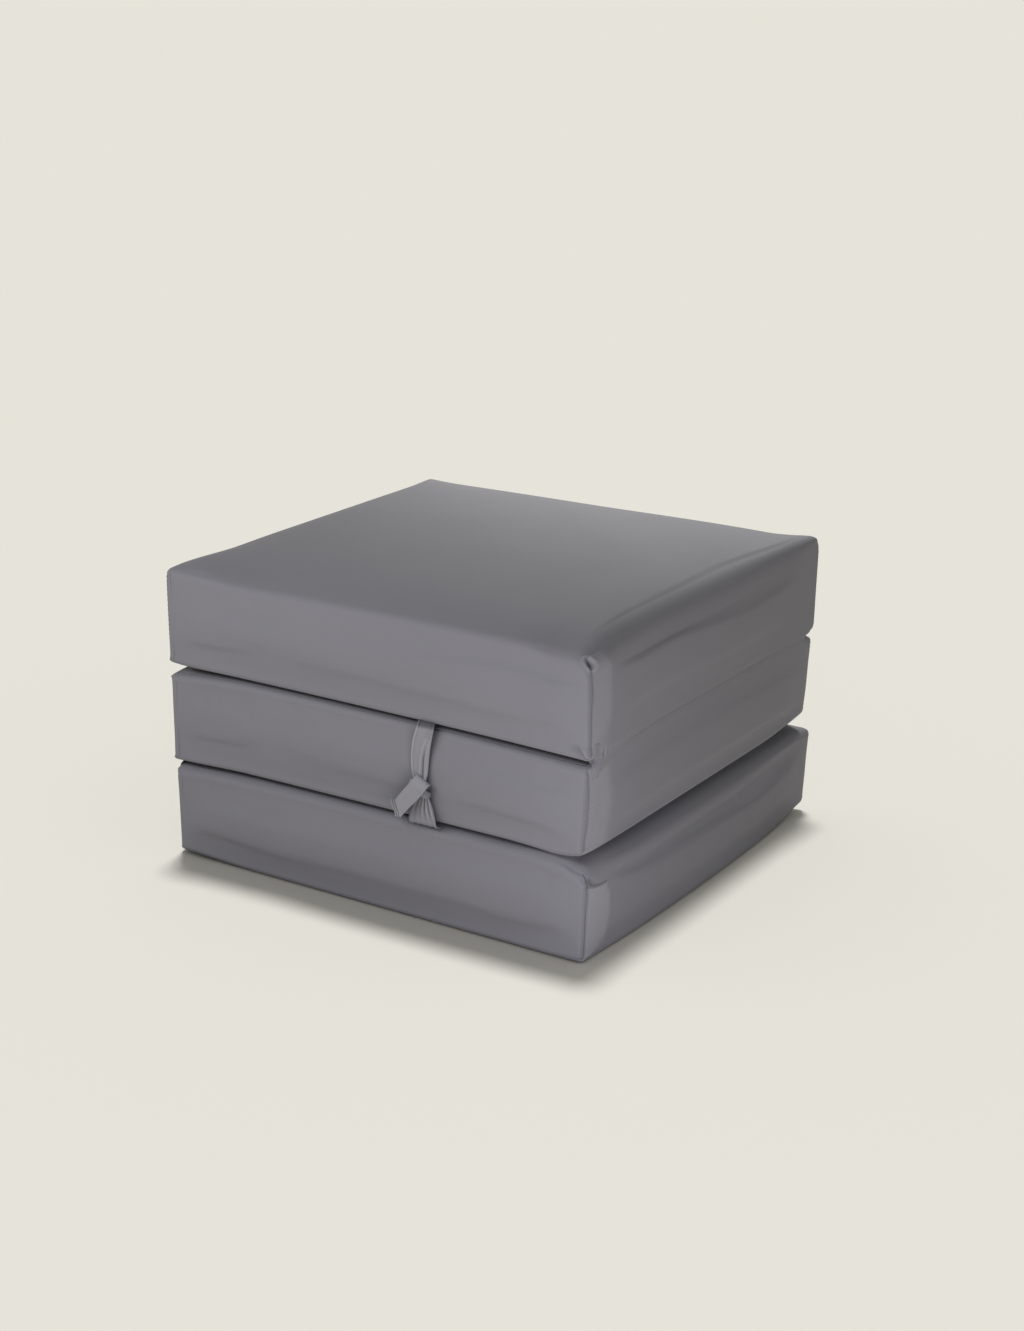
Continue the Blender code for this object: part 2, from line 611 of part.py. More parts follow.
def lower_tie_mesh():
    """The lower tie, standing up from its fold: pleated, and gathered in below the knot."""
    out = Vector((0.0, -1.0, 0.0))
    rise = knot_z - knot_lowest - FIT_GAP - lower_fold_z
    inset = knot_gap_y - TIE_THICKNESS / 2 - tie_axis_y
    neck_x = LOWER_TIE_NECK_SIDE_OFFSET - LOWER_TIE_SIDE_OFFSET
    rings = []
    for row in fold_rows(Vector((0.0, 0.0, 1.0)), out, LOWER_TIE_WIDTH):
        rings.append(pleated_ring(row[0], row[3], row[4], 0.0))
    for step in range(STRAP_POINTS):
        t = step / (STRAP_POINTS - 1)
        centre = Vector((neck_x * t, inset * t, rise * t))
        width = LOWER_TIE_WIDTH + (LOWER_TIE_NECK - LOWER_TIE_WIDTH) * t
        rings.append(pleated_ring(centre, width, TIE_THICKNESS, PLEAT_DEPTH * t))
    return loft(rings)


# Looks: colour, roughness, metallic
CLOTH = ((0.216, 0.213, 0.231), 0.62)
BASE_CLOTH = ((0.196, 0.193, 0.208), 0.70)
FOAM = ((0.82, 0.78, 0.66), 0.95)
TAPE = ((0.170, 0.168, 0.180), 0.75)
METAL = ((0.56, 0.56, 0.57), 0.32, 1.0)


def covered_block(name, frame, cover):
    """Foam, hood, base panel and zip of one block."""
    piece(f"{name}_foam", foam_mesh(cover), FOAM, frame)
    piece(f"{name}_hood", hood_mesh(cover), CLOTH, frame)
    piece(f"{name}_base_panel", base_panel_mesh(cover), BASE_CLOTH, frame)
    wall_y = cover_point(cover, ((0.0, 0, 0.0), (0.0, UP, 1.0), (ZIP_OPENING_HEIGHT / 2, 0, 0.0)), 0.0).y
    zip_frame = empty(f"{name}_zip", frame, (0.0, wall_y, HALF.z))
    piece(f"{name}_zip_hood_tape", tape_mesh(UP), TAPE, zip_frame)
    piece(f"{name}_zip_base_tape", tape_mesh(DOWN), TAPE, zip_frame)
    slide = empty(f"{name}_slide", zip_frame, (slider_start, 0.0, 0.0))
    piece(f"{name}_zip_slider", slider_mesh(), METAL, slide)
    swing = empty(f"{name}_pull_swing", slide, (0.0, puller_axis_y, 0.0))
    piece(f"{name}_zip_puller", puller_mesh(), METAL, swing)


def build():
    """The pile: bottom block, middle block turned over on it, top block turned back."""
    bottom = empty("bottom_block")
    lower_fold = empty("lower_fold", bottom, (-hinge_x, 0.0, BLOCK_HEIGHT + half_gap))
    middle = empty("middle_block", lower_fold, (hinge_x, 0.0, BLOCK_HEIGHT + half_gap), turned=True)
    upper_fold = empty("upper_fold", middle, (-hinge_x, 0.0, -half_gap))
    top = empty("top_block", upper_fold, (hinge_x, 0.0, -half_gap), turned=True)

    covered_block("bottom", bottom, PRESSED_COVER)
    covered_block("middle", middle, PRESSED_COVER)
    covered_block("top", top, OPEN_COVER)

    piece("lower_hinge_bottom_leaf", hinge_leaf_mesh(PRESSED_COVER, DOWN, UP), CLOTH, bottom)
    piece("lower_hinge_middle_leaf", hinge_leaf_mesh(PRESSED_COVER, UP, UP), CLOTH, middle)
    piece("upper_hinge_middle_leaf", hinge_leaf_mesh(PRESSED_COVER, DOWN, DOWN), CLOTH, middle)
    piece("upper_hinge_top_leaf", hinge_leaf_mesh(OPEN_COVER, UP, DOWN), CLOTH, top)

    piece("upper_tie_root", tie_root_mesh(OPEN_COVER, DOWN, TIE_WIDTH, TIE_SIDE_OFFSET), CLOTH, top)
    swing = empty("upper_tie_swing", top, (TIE_SIDE_OFFSET, tie_axis_y, -TIE_SHOULDER_DROP))
    piece("upper_tie", upper_tie_mesh(), CLOTH, swing)
    lower_root = tie_root_mesh(PRESSED_COVER, UP, LOWER_TIE_WIDTH, LOWER_TIE_SIDE_OFFSET)
    piece("lower_tie_root", lower_root, CLOTH, bottom)
    swing = empty("lower_tie_swing", bottom, (LOWER_TIE_SIDE_OFFSET, tie_axis_y, lower_fold_z))
    piece("lower_tie", lower_tie_mesh(), CLOTH, swing)


build()
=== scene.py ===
# %% [markdown]
# # A folding foam chair bed, dressed
#
# The real object is three blocks of foam in zipped cloth covers. Two cloth hinges join them, so
# that they fold into a low seat, and a knotted pair of ties keeps the seat shut.
#
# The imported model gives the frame: every block, zip and tie at its real size and place, with the
# joints that move them. This lesson adds what a camera sees: padded covers with sewn corners, a
# woven finish, hinge cloth, ties with a knot, and zip teeth. A shape could be sculpted by hand,
# but here each one is a formula on a grid of two parameters, because a formula keeps its real
# size and gives the same result each time.

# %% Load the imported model
import math

import bpy
import numpy as np
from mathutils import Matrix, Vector


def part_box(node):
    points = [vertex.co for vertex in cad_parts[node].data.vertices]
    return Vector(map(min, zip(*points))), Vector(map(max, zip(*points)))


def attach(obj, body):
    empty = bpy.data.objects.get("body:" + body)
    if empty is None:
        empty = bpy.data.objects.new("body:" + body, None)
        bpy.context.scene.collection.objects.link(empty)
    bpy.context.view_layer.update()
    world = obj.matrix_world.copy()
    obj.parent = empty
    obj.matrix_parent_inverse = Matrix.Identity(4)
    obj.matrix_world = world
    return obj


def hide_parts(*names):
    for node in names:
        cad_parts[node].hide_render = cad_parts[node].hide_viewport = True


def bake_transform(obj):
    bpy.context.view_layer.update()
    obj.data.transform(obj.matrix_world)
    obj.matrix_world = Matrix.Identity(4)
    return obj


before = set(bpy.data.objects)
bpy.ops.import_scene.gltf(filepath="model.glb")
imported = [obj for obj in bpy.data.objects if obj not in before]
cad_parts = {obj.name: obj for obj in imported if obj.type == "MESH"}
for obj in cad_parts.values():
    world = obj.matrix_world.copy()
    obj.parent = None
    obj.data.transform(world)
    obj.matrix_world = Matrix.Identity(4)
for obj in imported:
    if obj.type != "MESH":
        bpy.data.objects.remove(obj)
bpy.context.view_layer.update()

# %% [markdown]
# ## Where things are
#
# A padded cover has to sit in the space of the solids that it stands for. Reading that space
# from the model, rather than typing it, keeps the two together when a size changes.
#
# Each block is shaped in a frame of its own, with its base panel down. The middle block lies
# turned over in the pile, so its points are turned half round about Y on their way out.

# %% Sizes of a block, read from the model
NAMES = ("bottom", "middle", "top")
HOOD_UP = {"bottom": True, "middle": False, "top": True}

box = {name: [np.array(corner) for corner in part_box(f"{name}_hood")] for name in NAMES}
base_z = {name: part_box(f"{name}_base_panel")[0 if HOOD_UP[name] else 1][2] for name in NAMES}
height = box["bottom"][1][2] - box["bottom"][0][2]
gap = box["middle"][0][2] - box["bottom"][1][2]
SIDE_SWELL, FRONT_SWELL, BACK_SWELL = 0.003, 0.005, 0.002
half = np.array([box["bottom"][1][0] - SIDE_SWELL,
                 box["bottom"][1][1] - BACK_SWELL, height / 2])
print("Half a block is", half.round(4), "m, and the gap in the pile", round(gap, 5), "m")


def turned(name, points):
    """Turns points half round about Y if the block lies hood down: X and Z change sign."""
    return points if HOOD_UP[name] else points * (-1.0, 1.0, -1.0)


def to_pile(name, points):
    """Takes points from a block's own frame to their place in the pile: turned, then up to its base."""
    return turned(name, points) + (0.0, 0.0, base_z[name])


# %% [markdown]
# ## The camera
#
# The photograph was taken with a normal lens, a little above the seat and to the right of its
# front. The place below was fitted to the corners of the three blocks, so that a corner of the
# model falls on the same corner of the picture.

# %% Camera
LENS, SENSOR_WIDTH = 59.37, 36.0
CAMERA_PLACE = (1.577, -2.392, 1.187)
CAMERA_YAW, CAMERA_PITCH = math.radians(33.01), math.radians(18.20)

camera = bpy.data.objects.new("camera", bpy.data.cameras.new("camera"))
camera.data.lens = LENS
camera.data.sensor_width = SENSOR_WIDTH
camera.location = CAMERA_PLACE
camera.rotation_euler = (math.pi / 2 - CAMERA_PITCH, 0.0, CAMERA_YAW)
bpy.context.scene.collection.objects.link(camera)
bpy.context.scene.camera = camera
bpy.context.scene.view_settings.view_transform = "Standard"
print("Camera at", CAMERA_PLACE)

# %% [markdown]
# ## Floor and light
#
# A studio cloth has no edge, so the floor is one large plane that runs past the top of the
# picture. A sun and an even sky light it the same everywhere, and the sun stands so high that its
# shadow is only a narrow soft band at the bed's foot. The bed itself is lit by softboxes, whose
# light falls off across it. They would leave a bright pool on the floor, so light linking lets
# them light the bed alone.

# %% Node helpers
def node(tree, kind, **values):
    """Adds a shader node of a kind, and sets its properties by name."""
    made = tree.nodes.new(kind)
    for name, value in values.items():
        setattr(made, name, value)
    return made


def feed(tree, step, **inputs):
    """Sets a node's inputs by name, with _ for a space: an output socket is linked, a value is set."""
    for name, value in inputs.items():
        slot = step.inputs[name.replace("_", " ")]
        if isinstance(value, bpy.types.NodeSocket):
            tree.links.new(value, slot)
        else:
            slot.default_value = value
    return step


def math_node(tree, operation, *values, clamp=False):
    """One step of arithmetic on sockets or numbers; gives its output socket."""
    step = node(tree, "ShaderNodeMath", operation=operation, use_clamp=clamp)
    for slot, value in zip(step.inputs, values):
        if isinstance(value, (int, float)):
            slot.default_value = value
        else:
            tree.links.new(value, slot)
    return step.outputs[0]


def new_material(name):
    """A material with its node tree and its Principled shader."""
    material = bpy.data.materials.new(name)
    material.use_nodes = True
    tree = material.node_tree
    return material, tree, tree.nodes["Principled BSDF"]


# %% The sky
BACKDROP = (0.784, 0.761, 0.687)
SKY_LEVEL = 0.29

world = bpy.data.worlds.new("studio")
world.use_nodes = True
bpy.context.scene.world = world
sky = world.node_tree
lit_sky = feed(sky, sky.nodes["Background"], Color=(1.0, 1.0, 1.0, 1.0), Strength=SKY_LEVEL)
seen_sky = feed(sky, node(sky, "ShaderNodeBackground"), Color=(*BACKDROP, 1.0))
rays = node(sky, "ShaderNodeLightPath").outputs
seen = math_node(sky, "MAXIMUM", rays["Is Camera Ray"], rays["Is Glossy Ray"])
seen = math_node(sky, "MAXIMUM", seen, rays["Is Transmission Ray"])
choose = node(sky, "ShaderNodeMixShader")
for slot, value in zip(choose.inputs, (seen, lit_sky.outputs[0], seen_sky.outputs[0])):
    sky.links.new(value, slot)
feed(sky, sky.nodes["World Output"], Surface=choose.outputs[0])


# %% Lamps and floor
FLOOR_COLOUR = (0.93, 0.905, 0.82)
FLOOR_REACH = 200.0


def add_sun(name, azimuth, elevation, strength, width, lit):
    """A sun on one collection; azimuth 0 is the front, at -Y, and 90 the right, at +X."""
    lamp = bpy.data.lights.new(name, "SUN")
    lamp.energy = strength
    lamp.angle = math.radians(width)
    sun = bpy.data.objects.new(name, lamp)
    sun.rotation_euler = (math.radians(90 - elevation), 0.0, math.radians(azimuth))
    sun.light_linking.receiver_collection = lit
    bpy.context.scene.collection.objects.link(sun)
    return sun


def add_softbox(name, place, aim, size, power, lit, colour=(1.0, 1.0, 1.0)):
    """A rectangular lamp at a place, aimed at a point, that lights one collection."""
    lamp = bpy.data.lights.new(name, "AREA")
    lamp.shape = "RECTANGLE"
    lamp.size, lamp.size_y = size
    lamp.energy = power
    softbox = bpy.data.objects.new(name, lamp)
    lamp.color = colour
    softbox.location = place
    softbox.rotation_euler = (Vector(aim) - Vector(place)).to_track_quat("-Z", "Y").to_euler()
    softbox.light_linking.receiver_collection = lit
    softbox.visible_camera = False
    bpy.context.scene.collection.objects.link(softbox)
    return softbox


bed, studio = [bpy.data.collections.new(name) for name in ("bed", "studio")]
for group in (bed, studio):
    bpy.context.scene.collection.children.link(group)
add_sun("overhead", azimuth=210.0, elevation=79.6, strength=1.80, width=8.0, lit=studio)
add_softbox("key", place=(-0.25, -0.97, 0.82), aim=(-0.20, -0.30, 0.39), size=(1.3, 0.30), power=6.8,
            lit=bed, colour=(0.96, 0.96, 1.0))
add_softbox("back", place=(-0.28, 1.10, 1.25), aim=(-0.28, 1.565, 0.35), size=(1.0, 0.4), power=50.0,
            lit=bed)
add_softbox("side", place=(0.62, -0.62, 0.14), aim=(0.33, -0.27, 0.17), size=(0.30, 0.35), power=1.7,
            lit=bed, colour=(0.91, 0.90, 1.0))

floor_mesh = bpy.data.meshes.new("floor")
floor_corners = [(-1, -1), (1, -1), (1, 1), (-1, 1)]
floor_mesh.from_pydata([(x * FLOOR_REACH, y * FLOOR_REACH, 0.0) for x, y in floor_corners], [],
                       [(0, 1, 2, 3)])
floor = bpy.data.objects.new("floor", floor_mesh)
studio.objects.link(floor)
floor_material, floor_tree, floor_shader = new_material("studio_cloth")
feed(floor_tree, floor_shader, Base_Color=(*FLOOR_COLOUR, 1.0), Roughness=1.0, Specular_IOR_Level=0.0)
floor_mesh.materials.append(floor_material)

# %% [markdown]
# ## Woven cloth
#
# The cover is a fine, smooth cloth in a plain weave. An image of cloth could be laid on it, but a
# worked-out weave stays sharp at any distance and never repeats a stain. Each thread is a row of
# round humps, and warp and weft take turns on top, so the height is the warp's hump on one half
# of a chequer and the weft's on the other.
#
# The effect is a node group, because the covers, the base panels and the ties share it. It reads
# the piece's own UV map, whose unit is the metre, so the threads keep their real size and follow
# the surface round every edge. It also gives the slubs, which are thicker stretches of thread
# seen as faint streaks, and the slow drift of tone that any dyed cloth has.
# It also paints the tops of the threads lighter and the hollows between them darker, as painted shade. It
# darkens the colour by the painted shade that each piece stores, and lightens it by the painted highlights.

# %% Pattern helpers
def noise_node(tree, place, scale, detail=2.0):
    """Noise over a place, its scale in cycles to the metre; gives its value less its mean of a half."""
    noise = feed(tree, node(tree, "ShaderNodeTexNoise"), Vector=place, Scale=scale, Detail=detail,
                 Roughness=0.5)
    return math_node(tree, "SUBTRACT", noise.outputs["Fac"], 0.5)


def stretched(tree, place, amounts):
    """A place scaled unlike along its axes, so that a pattern on it is drawn out."""
    return feed(tree, node(tree, "ShaderNodeMapping"), Vector=place, Scale=amounts).outputs["Vector"]


def surface_group(name, colour, **numbers):
    """A shader group that is given a place, a colour and some numbers; also gives its two end nodes."""
    group = bpy.data.node_groups.new(name, "ShaderNodeTree")
    add = group.interface.new_socket
    add("Place", in_out="INPUT", socket_type="NodeSocketVector")
    add("Colour", in_out="INPUT", socket_type="NodeSocketColor").default_value = colour
    for socket, value in numbers.items():
        add(socket, in_out="INPUT", socket_type="NodeSocketFloat").default_value = value
    add("Colour", in_out="OUTPUT", socket_type="NodeSocketColor")
    for socket in ("Height", "Roughness"):
        add(socket, in_out="OUTPUT", socket_type="NodeSocketFloat")
    return group, group.nodes.new("NodeGroupInput"), group.nodes.new("NodeGroupOutput")


def end_group(group, given, result, tone, height, roughness):
    """What a surface group gives: its colour times the tone, its height and its roughness."""
    tinted = feed(group, node(group, "ShaderNodeVectorMath", operation="SCALE"), Scale=tone)
    group.links.new(given.outputs["Colour"], tinted.inputs[0])
    feed(group, result, Colour=tinted.outputs[0], Height=height, Roughness=roughness)


# %% The weave group
# The threads' tops are painted lighter and their hollows darker, as painted shade; the last number is how far
# a piece's painted shade darkens its colour.
THREAD_PAINTED_SHADE, MEAN_TONE, PAINTED_SHADING_DEPTH = 0.10, 0.065, 0.45


def make_weave():
    """Plain weave: height of crossing threads, their tone with painted shade in the hollows, slubs, a slow
    drift and a piece's painted shade, from a place in metres.
    """
    group, given, result = surface_group("plain_weave", (0.2, 0.2, 0.2, 1.0), Threads=2200.0, Slub=0.05,
                                         Drift=0.06, Crease=0.0)
    place = given.outputs["Place"]
    split = node(group, "ShaderNodeSeparateXYZ")
    group.links.new(place, split.inputs[0])
    turn = math_node(group, "MULTIPLY", given.outputs["Threads"], math.pi)
    along = [math_node(group, "MULTIPLY", split.outputs[axis], turn) for axis in (0, 1)]
    waves = [math_node(group, "SINE", way) for way in along]
    hump = [math_node(group, "ABSOLUTE", wave) for wave in waves]
    chequer = math_node(group, "MULTIPLY", *waves)
    over = math_node(group, "MULTIPLY_ADD", chequer, 4.0, 0.5, clamp=True)
    warp = math_node(group, "MULTIPLY", hump[0], over)
    under = math_node(group, "SUBTRACT", 1.0, over)
    height_out = math_node(group, "MULTIPLY_ADD", hump[1], under, warp)

    slub = math_node(group, "ADD", *[noise_node(group, stretched(group, place, ratio), 1.0)
                                     for ratio in ((14.0, 700.0, 1.0), (700.0, 14.0, 1.0))])
    drift = noise_node(group, place, 9.0, 3.0)
    tone = math_node(group, "MULTIPLY_ADD", slub, given.outputs["Slub"], 1.0)
    tone = math_node(group, "MULTIPLY_ADD", drift, given.outputs["Drift"], tone)
    tone = math_node(group, "MULTIPLY_ADD", height_out, THREAD_PAINTED_SHADE, tone)
    tone = math_node(group, "SUBTRACT", tone, MEAN_TONE)
    dark = math_node(group, "MULTIPLY_ADD", given.outputs["Crease"], -PAINTED_SHADING_DEPTH, 1.0)
    tone = math_node(group, "MULTIPLY", tone, dark)
    rough = math_node(group, "MULTIPLY_ADD", height_out, -0.08, 0.62)
    rough = math_node(group, "MULTIPLY_ADD", drift, 0.12, rough)
    end_group(group, given, result, tone, height_out, rough)
    return group


weave = make_weave()
print("Weave group with", len(weave.nodes), "nodes")

# %% [markdown]
# A cloth's own material then only says its colour, how fine its threads are and how much it
# shines. The faint gloss of these threads comes from the Principled shader's sheen, which lights
# up where cloth is seen at a low angle.

# %% Cloth materials
CLOTH_BUMP, CLOTH_RELIEF = 0.35, 0.00012
SHEEN_ROUGHNESS, CLOTH_SPECULAR = 0.45, 0.12
COVER_COLOUR = (0.176, 0.173, 0.190)


def group_material(name, colour, group, place, bump, relief, **inputs):
    """A material whose colour, roughness and height a group gives; place adds the nodes of its place."""
    material, tree, shader = new_material(name)
    used = feed(tree, node(tree, "ShaderNodeGroup", node_tree=group), Place=place(tree),
                Colour=(*colour, 1.0), **inputs)
    raised = feed(tree, node(tree, "ShaderNodeBump"), Height=used.outputs["Height"], Strength=bump,
                  Distance=relief)
    feed(tree, shader, Base_Color=used.outputs["Colour"], Roughness=used.outputs["Roughness"],
         Normal=raised.outputs[0])
    return material, tree, shader, used


def cloth_place(tree):
    """The place on the piece's own UV map, in metres of cloth."""
    return node(tree, "ShaderNodeUVMap", uv_map="cloth").outputs[0]


def cloth_material(name, colour, threads, slub=0.05, drift=0.06, sheen=0.05):
    """A woven cloth, its colour darkened by the painted shade and lightened by the painted highlights that
    each piece stores.
    """
    material, tree, shader, woven = group_material(name, colour, weave, cloth_place, CLOTH_BUMP, CLOTH_RELIEF,
                                                   Threads=threads, Slub=slub, Drift=drift)
    painted_shading = node(tree, "ShaderNodeAttribute", attribute_name="painted_shading")
    feed(tree, woven, Crease=painted_shading.outputs["Fac"])
    feed(tree, shader, Sheen_Weight=sheen, Sheen_Roughness=SHEEN_ROUGHNESS, Specular_IOR_Level=CLOTH_SPECULAR)
    return material


cover_cloth = cloth_material("cover_cloth", COVER_COLOUR, 2200.0)
print("Cloth:", cover_cloth.name)

# %% [markdown]
# ## Meshes from arrays
#
# Every new piece goes through one door. It takes an array of points, an array of four-cornered
# faces and the place of each face corner on the cloth, and it makes the object without a loop
# over the points.

# %% From arrays to a piece
def add_piece(name, points, faces, cloth_uv, material):
    """A mesh object at the origin from arrays of points, quads and each quad corner's place on the cloth."""
    mesh = bpy.data.meshes.new(name)
    mesh.vertices.add(len(points))
    mesh.vertices.foreach_set("co", np.asarray(points, np.float32).ravel())
    mesh.loops.add(faces.size)
    mesh.loops.foreach_set("vertex_index", faces.astype(np.int32).ravel())
    mesh.polygons.add(len(faces))
    mesh.polygons.foreach_set("loop_start", np.arange(0, faces.size, 4, dtype=np.int32))
    mesh.update(calc_edges=True)
    mesh.validate()
    layer = mesh.uv_layers.new(name="cloth")
    layer.uv.foreach_set("vector", np.asarray(cloth_uv, np.float32).ravel())
    mesh.shade_smooth()
    mesh.materials.append(material)
    piece = bpy.data.objects.new(name, mesh)
    bed.objects.link(piece)
    return piece


def rows_of(items, key="vector"):
    """One vector of each item of a mesh, such as a point's normal, as the rows of an array."""
    flat = np.empty(len(items) * 3, np.float32)
    items.foreach_get(key, flat)
    return flat.reshape(-1, 3).astype(float)


def points_of(mesh):
    """A mesh's points as an array."""
    return rows_of(mesh.vertices, "co")


def set_points(mesh, points):
    """Puts an array of points back into a mesh."""
    mesh.vertices.foreach_set("co", points.astype(np.float32).ravel())
    mesh.update()


def set_painted_shading(piece, painted_shading):
    """Stores for each point how much painted shade darkens its colour there; below zero, a painted highlight
    lightens it.
    """
    shade = piece.data.attributes.new("painted_shading", "FLOAT", "POINT")
    shade.data.foreach_set("value", painted_shading.astype(np.float32))


def refine(piece):
    """Divides each face in four with a Subdivision modifier, and keeps the mesh that it makes."""
    finer = piece.modifiers.new("finer", "SUBSURF")
    finer.levels = finer.render_levels = 1
    graph = bpy.context.evaluated_depsgraph_get()
    made = bpy.data.meshes.new_from_object(piece.evaluated_get(graph), preserve_all_data_layers=True,
                                           depsgraph=graph)
    piece.modifiers.clear()
    piece.data = made


def rows(*columns):
    """Columns of numbers side by side, so that each row is a place."""
    return np.stack(columns, axis=1)


def ripple(points, wavelength, seed, waves=7):
    """A smooth uneven height, about -1 to 1: a sum of plane waves of about one length, any direction."""
    chance = np.random.default_rng(seed)
    ways = chance.normal(size=(waves, 3))
    ways /= np.linalg.norm(ways, axis=1, keepdims=True)
    lengths = wavelength * chance.uniform(0.7, 1.5, waves)
    phases = chance.uniform(0, 2 * np.pi, waves)
    return np.sin(points @ (2 * np.pi * ways / lengths[:, None]).T + phases).sum(1) / math.sqrt(waves)


def bell(distance, width):
    """One at distance 0, falling smoothly to nothing over a few widths."""
    return np.exp(-(distance / width) ** 2)


# %% [markdown]
# ## A padded cover
#
# Foam in a cover is a box whose faces swell and whose edges are rounded. A cube with a Bevel
# modifier would be quick, but then no seam, zip or fold could find its place on the cloth. So
# the cover is laid out on a lattice instead, whose stations are counted along the cloth: evenly
# over the flat of a side, and closer together round each edge. A station in a rounding holds the
# tangent of its angle, so the three tangents of a point give the direction in which it lies from
# the rounding's centre.

# %% The lattice of a box
def lattice_shell(counts):
    """The outside of a lattice: its points' indices, the quads that face out, and the axis of each quad."""
    edge = np.ones(counts, bool)
    edge[1:-1, 1:-1, 1:-1] = False
    number = np.full(counts, -1)
    number[edge] = np.arange(edge.sum())
    quads, axes = [], []
    for axis in range(3):
        for end, forward in ((0, axis == 1), (-1, axis != 1)):
            side = np.take(number, end, axis=axis)
            a, b, c, d = side[:-1, :-1], side[1:, :-1], side[1:, 1:], side[:-1, 1:]
            loop = (a, b, c, d) if forward else (a, d, c, b)
            quads.append(np.stack(loop, axis=-1).reshape(-1, 4))
            axes.append(np.full(len(quads[-1]), axis))
    return np.argwhere(edge), np.concatenate(quads), np.concatenate(axes)


def stations(flat_half, spacing, turns, marks=()):
    """Stations along one axis: shares of the flat from -1 to 1, and the angles of the turns at each end."""
    even = np.linspace(-1.0, 1.0, 2 * round(flat_half / spacing) + 1)
    marked = np.array([mark / flat_half for mark in marks])
    if len(marked):
        near = np.abs(even[:, None] - marked[None, :]).min(axis=1) < 0.4 * spacing / flat_half
        even = np.concatenate([even[~near], marked])
    flat = np.unique(np.concatenate([even, [-1.0, 1.0]]))
    angles = np.radians(turns)
    share = np.concatenate([np.full(len(angles), -1.0), flat, np.full(len(angles), 1.0)])
    angle = np.concatenate([-angles[::-1], np.zeros(len(flat)), angles])
    return share, angle


# %% [markdown]
# The form itself is the rounding's centre plus the direction times the radius. A sewn corner is
# tighter than a rolled edge, so seen from above the corner isn't a circle but a superellipse:
# its direction is divided by the two tangents' norm of a power above two. It also reaches further
# along the side than along the front, because the front wall is the one that is drawn flat to the
# seam. Then each wall gets its belly and the sleeping face its crown, as one minus the square of
# the way to the edge. The top block's crown is steep at the front edge and hardly falls towards
# the back, because sitters have pushed its filling there. The flat of the base is set in by a
# little more than the base panel's thickness, to make room for it.

# %% The form of a block
HOOD_ROUNDS = {"bottom": 0.012, "middle": 0.009, "top": 0.016}
SOFT_ROUNDS = {"top": 0.030, "bottom": 0.024}
CROWNS = {"bottom": 0.0, "middle": 0.0, "top": 0.0105}
CROWN_STEEPNESS, CROWN_BELLY_SHARE, CROWN_RIGHT_SHARE = 10, 0.25, 0.3
BASE_ROUND = 0.010
FRONT_REACH, LEFT_REACH = 0.008, 0.022
SIDE_REACH, NEAR_REACH = 0.024, 0.046
EDGE_DRAW_IN = 0.003
PANEL_DEPTH = 0.0019
CORNER_POWER = 2.7
SPACING = (0.0155, 0.0155, 0.0035)
SIDE_TURNS = (9.0, 18.0, 26.0, 33.0, 38.5, 42.0, 43.8, 45.0)
EVEN_TURNS = (7.5, 15.0, 22.5, 30.0, 37.5, 45.0)
SEAM_ANGLE = 42.0
SEAM_TURNS = (10.0, 19.0, 27.0, 33.0, 37.0, 39.3, 40.8, 42.0, 43.2, 45.0)
ZIP_HALF_LENGTH = float(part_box("bottom_zip_hood_tape")[1][0])
ZIP_HALF_HEIGHT = 0.008
ROUND_AT_REST = 0.014

ZIP_ENDS = [sign * (ZIP_HALF_LENGTH + step) for sign in (-1, 1) for step in (-0.003, 0.0, 0.003)]
ZIP_EDGES = [sign * (ZIP_HALF_HEIGHT + step) for sign in (-1, 1) for step in (-0.002, 0.0, 0.002, 0.005)]
flat_half = half - ROUND_AT_REST
FINE_WAYS = [sign * (flat_half[0] - way) for sign in (-1, 1)
             for way in (0.0015, 0.003, 0.0045, 0.0065, 0.009, 0.012)]
lines = [stations(flat_half[0], SPACING[0], SEAM_TURNS, ZIP_ENDS + FINE_WAYS),
         stations(flat_half[1], SPACING[1], SIDE_TURNS),
         stations(flat_half[2], SPACING[2], EVEN_TURNS, ZIP_EDGES)]
spots, quads, quad_axes = lattice_shell([len(share) for share, _ in lines])
shares = np.stack([line[0][spots[:, axis]] for axis, line in enumerate(lines)], axis=1)
angles = np.stack([line[1][spots[:, axis]] for axis, line in enumerate(lines)], axis=1)
lay = shares * flat_half + angles * ROUND_AT_REST
reach = flat_half + math.pi / 4 * ROUND_AT_REST
print("A cover has", len(spots), "points and", len(quads), "quads before it is refined")


def fade(distance, start, end):
    """Zero up to start and one from end on, with a smooth step between."""
    t = np.clip((distance - start) / (end - start), 0, 1)
    return t * t * (3 - 2 * t)


def plan_rounds(tangents, left=-1):
    """A corner's two radii, each growing from the plain round with the turn away from its own wall."""
    front_reach = np.where(tangents[:, 0] * left > 0, LEFT_REACH, FRONT_REACH)
    side_reach = np.where((tangents[:, 0] * left < 0) & (shares[:, 1] < 0), NEAR_REACH, SIDE_REACH)
    along_side = ROUND_AT_REST + (side_reach - ROUND_AT_REST) * np.abs(tangents[:, 0])
    along_front = ROUND_AT_REST + (front_reach - ROUND_AT_REST) * np.abs(tangents[:, 1])
    return along_front, along_side


